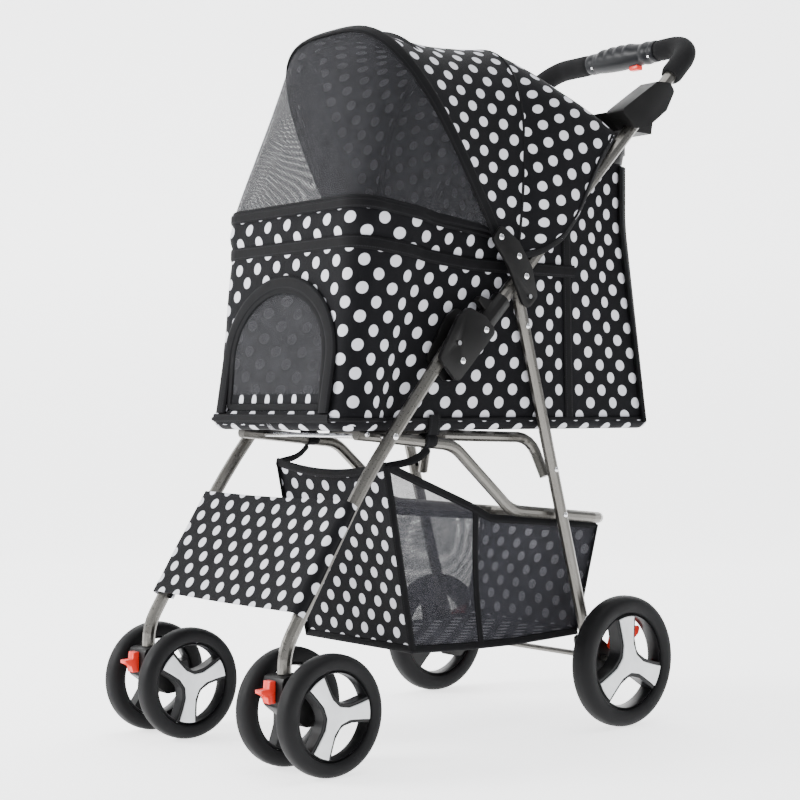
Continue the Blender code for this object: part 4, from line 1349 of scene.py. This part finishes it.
def centre_grip():
    """The moulded grip on the bar, with raised ridges on top and a collar at each end."""
    low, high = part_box("centre_grip")
    middle = (low + high) / 2
    left, right = low.x - 0.001, high.x + 0.025
    tube = 0.0094
    stations = [(left, tube), (left, 0.0150), (left + 0.003, 0.0158), (left + 0.010, 0.0158)]
    body = np.linspace(left + 0.014, right - 0.028, 45)
    for x in body:
        share = (x - body[0]) / (body[-1] - body[0])
        stations.append((x, 0.0152 + 0.0030 * math.sin(math.pi * share) ** 0.7))
    for share in np.linspace(0, 1, 9)[1:]:
        swell = 0.0018 * math.sin(math.pi * share)
        stations.append((right - 0.028 + 0.018 * share, 0.0152 + swell))
    stations += [(right - 0.007, 0.0160), (right - 0.002, 0.0160), (right, 0.0152), (right, tube)]
    steps = 48
    points = []
    for x, r in stations:
        share = (x - body[0]) / (body[-1] - body[0])
        wave = 0.0
        if 0.10 < share < 0.88:
            wave = 1 - abs(((share - 0.10) / 0.78 * 4) % 1 - 0.35) / 0.65
        for k in range(steps):
            turn = 2 * math.pi * k / steps
            top = max(0.0, math.cos(turn - math.radians(125))) ** 3
            reach = r + 0.0024 * wave * top
            y, z = reach * math.cos(turn), reach * math.sin(turn)
            points.append((x, middle.y + y, middle.z + z))
    grip = mesh_object("moulded_grip", points, bands(len(stations), steps, True), GRIP)
    pocket_low, pocket_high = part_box("release_button")
    size = pocket_high - pocket_low
    at = (pocket_low + pocket_high) / 2
    size += Vector((0.001, 0.001, 0.008))
    cut(grip, block("grip_cutter", size, (at.x, at.y, at.z + 0.001)))
    belongs(grip, "handle", "black_plastic", "centre_grip")
    screws = []
    head = [(-0.0022, 0.0002), (-0.0018, 0.0026), (0.0018, 0.0026), (0.0022, 0.0002)]
    for i, x in enumerate((left + 0.0125, right - 0.0085)):
        centre = (x, middle.y - 0.0140 * 0.82, middle.z - 0.0140 * 0.55)
        screws.append(turned(f"grip_screw_{i}", head, centre, CHROME, 16))
    heads = joined("grip_screws", screws)
    belongs(heads, "handle", "rivet_steel")
    foam_grips(left, right)


def foam_grips(left, right):
    """Foam sleeves from the tray's arms round both corners to the moulded grip."""
    bar = on_handle((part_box("centre_grip")[0].y + 0.0165 - FOOT.y) / ALONG.y)
    start, bend = 0.5686, 0.045
    for side, sign in SIDES.items():
        corner = Vector((sign * 0.150, bar.y, bar.z))
        middle = corner - ALONG * bend - Vector((sign * bend, 0, 0))
        line = [on_handle(start, 0, sign * 0.150), on_handle(start + 0.002, 0, sign * 0.150)]
        for turn in np.linspace(0, math.pi / 2, 14):
            way = Vector((sign * math.cos(turn), 0, 0)) + ALONG * math.sin(turn)
            line.append(middle + way * bend)
        end = right + 0.0004 if sign > 0 else left - 0.0004
        line += [Vector((end + sign * 0.002, bar.y, bar.z)), Vector((end, bar.y, bar.z))]
        path = resample(line, 0.0035)
        points = []
        steps = 32
        for i, point in enumerate(path):
            way = (path[min(i + 1, len(path) - 1)] - path[max(i - 1, 0)]).normalized()
            first = (BEHIND - way * BEHIND.dot(way)).normalized()
            second = way.cross(first)
            ease = min(i, len(path) - 1 - i)
            r = 0.0155 - (0.0022, 0.0008)[ease] if ease < 2 else 0.0155
            for k in range(steps):
                turn = 2 * math.pi * k / steps
                dent = 0.0003 * noise.noise(point * 60.0 + Vector((k * 0.3, 0, 0)))
                out = first * math.cos(turn) + second * math.sin(turn)
                points.append(point + out * (r + dent))
        foam = mesh_object("foam_sleeve_" + side, points, bands(len(path), steps), FOAM)
        belongs(foam, "handle", "foam", "foam_grip_" + side)


def cup_bottoms():
    """The tapered cups that hang below the tray's two wells."""
    cups = []
    cup_x, cup_y, steps = 0.070, 0.2565, 40
    rings = ((0.0002, 0.7700), (0.0310, 0.7700), (0.0335, 0.7715), (0.0352, 0.7800))
    rings += ((0.0368, 0.7895), (0.0368, 0.7930), (0.0002, 0.7930))
    for side, sign in SIDES.items():
        points = []
        for r, z in rings:
            for k in range(steps):
                turn = 2 * math.pi * k / steps
                x, y = r * math.cos(turn), r * math.sin(turn)
                points.append((sign * cup_x + x, cup_y + y, z))
        faces = bands(len(rings), steps)
        cups.append(mesh_object("cup_bottom_" + side, points, faces, BLACK))
    belongs(joined("cup_bottoms", cups), "handle", "black_plastic")


def webbing():
    """Black straps: round the lower link tube, forward to the basket's front corners."""
    top_y, top_z = -0.111, 0.3855
    corner = BASKET["rim"][0]
    for side, sign in SIDES.items():
        x = sign * 0.1235
        start = Vector((x + sign * 0.004, top_y - 0.002, top_z - 0.0105))
        end = Vector((sign * BASKET_TOP_X, corner[0] + 0.002, corner[1]))
        dip = (start + end) / 2 - Vector((0, 0, 0.006))
        strap = tape(
            "basket_strap_" + side,
            [start, start.lerp(dip, 0.5) - Vector((0, 0, 0.003)), dip, dip.lerp(end, 0.5), end],
            lambda p: Vector((p.x, 0, 0.05)),
            0.010,
            0.0018,
        )
        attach(strap, "link")
        loop = []
        for turn in np.linspace(0, 2 * math.pi, 17):
            off = Vector((math.cos(turn), 0, math.sin(turn))) * 0.0094
            loop.append(Vector((x, top_y, top_z)) + off)

        def out(point, x=x):
            return point - Vector((x, top_y, top_z))

        ring = tape("strap_loop_" + side, loop, out, 0.019, 0.0018, closed=True, step=0.004)
        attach(ring, "link")
        tab = [
            Vector((sign * 0.1375, top_y, 0.4180)),
            Vector((sign * 0.1385, top_y, 0.4080)),
            Vector((sign * 0.1370, top_y, 0.4000)),
            Vector((sign * 0.1345, top_y, 0.3925)),
        ]
        hanger = tape("strap_tab_" + side, tab, lambda p: Vector((p.x, 0, 0)), 0.019, 0.0018)
        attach(hanger, "carrier")


# Stage


def stage():
    pale = Graph("studio_paper")
    cloud = pale.noise(1.5, 2.0, pale.place())
    paper = pale.finish(
        base_color=pale.mix(cloud, (0.90, 0.90, 0.90), (0.93, 0.93, 0.93)),
        roughness=0.9,
        specular=0.0,
        emission_color=(1.0, 1.0, 1.0),
        emission_strength=2.0,
    )
    cove = 0.9
    turns = np.linspace(0, math.pi / 2, 12)
    bend = [(2.2 + cove * math.sin(t), cove - cove * math.cos(t)) for t in turns]
    sweep = [(-7.0, 0.0), *bend, (3.1, 5.0)]
    facing = Vector((-math.sin(VIEW_AZIMUTH), math.cos(VIEW_AZIMUTH), 0))
    across = Vector((facing.y, -facing.x, 0))
    points = [facing * y + across * x + Vector((0, 0, z)) for y, z in sweep for x in (-6, 6)]
    count = len(sweep)
    mesh = bpy.data.meshes.new("backdrop")
    faces = [(2 * k, 2 * k + 1, 2 * k + 3, 2 * k + 2) for k in range(count - 1)]
    mesh.from_pydata([tuple(p) for p in points], [], faces)
    mesh.shade_smooth()
    mesh.materials.append(paper)
    placed("backdrop", mesh)
    world = bpy.context.scene.world or bpy.data.worlds.new("studio")
    bpy.context.scene.world = world
    world.use_nodes = True
    sky = world.node_tree.nodes["Background"]
    sky.inputs[0].default_value = (0.93, 0.96, 1.0, 1.0)
    sky.inputs[1].default_value = 0.65
    for name, place, size, power in (
        ("key", (-1.6, -2.6, 1.6), 1.4, 150.0),
        ("fill", (2.4, -1.6, 1.5), 1.6, 10.0),
        ("top", (0.0, 0.2, 2.8), 2.0, 50.0),
    ):
        lamp = bpy.data.lights.new(name, "AREA")
        lamp.size, lamp.energy = size, power
        obj = placed(name, lamp)
        obj.location = place
        aim = Vector((0, 0, 0.45)) - Vector(place)
        obj.rotation_euler = aim.to_track_quat("-Z", "Y").to_euler()


def camera():
    azimuth, elevation = VIEW_AZIMUTH, math.radians(-0.278)
    right = Vector((math.cos(azimuth), math.sin(azimuth), 0))
    back = Vector(
        (
            math.sin(azimuth) * math.cos(elevation),
            -math.cos(azimuth) * math.cos(elevation),
            math.sin(elevation),
        )
    )
    lens = bpy.data.cameras.new("photo_view")
    lens.sensor_width = 36.0
    lens.lens = 75.71
    obj = placed("photo_view", lens)
    obj.location = Vector((0, -0.299, 0.4365)) + right * 0.1887 + back * 2.1034
    obj.rotation_mode = "QUATERNION"
    obj.rotation_quaternion = (-back).to_track_quat("-Z", "Y")
    bpy.context.scene.camera = obj


dress_nodes()
carrier_walls()
carrier_underside()
wall_tapes()
door()
canopy_covers()
canopy_tapes()
canopy_net()
basket()
leg_panel()
pad_cushion()
wheels()
centre_grip()
cup_bottoms()
all_rivets()
webbing()
stage()
camera()
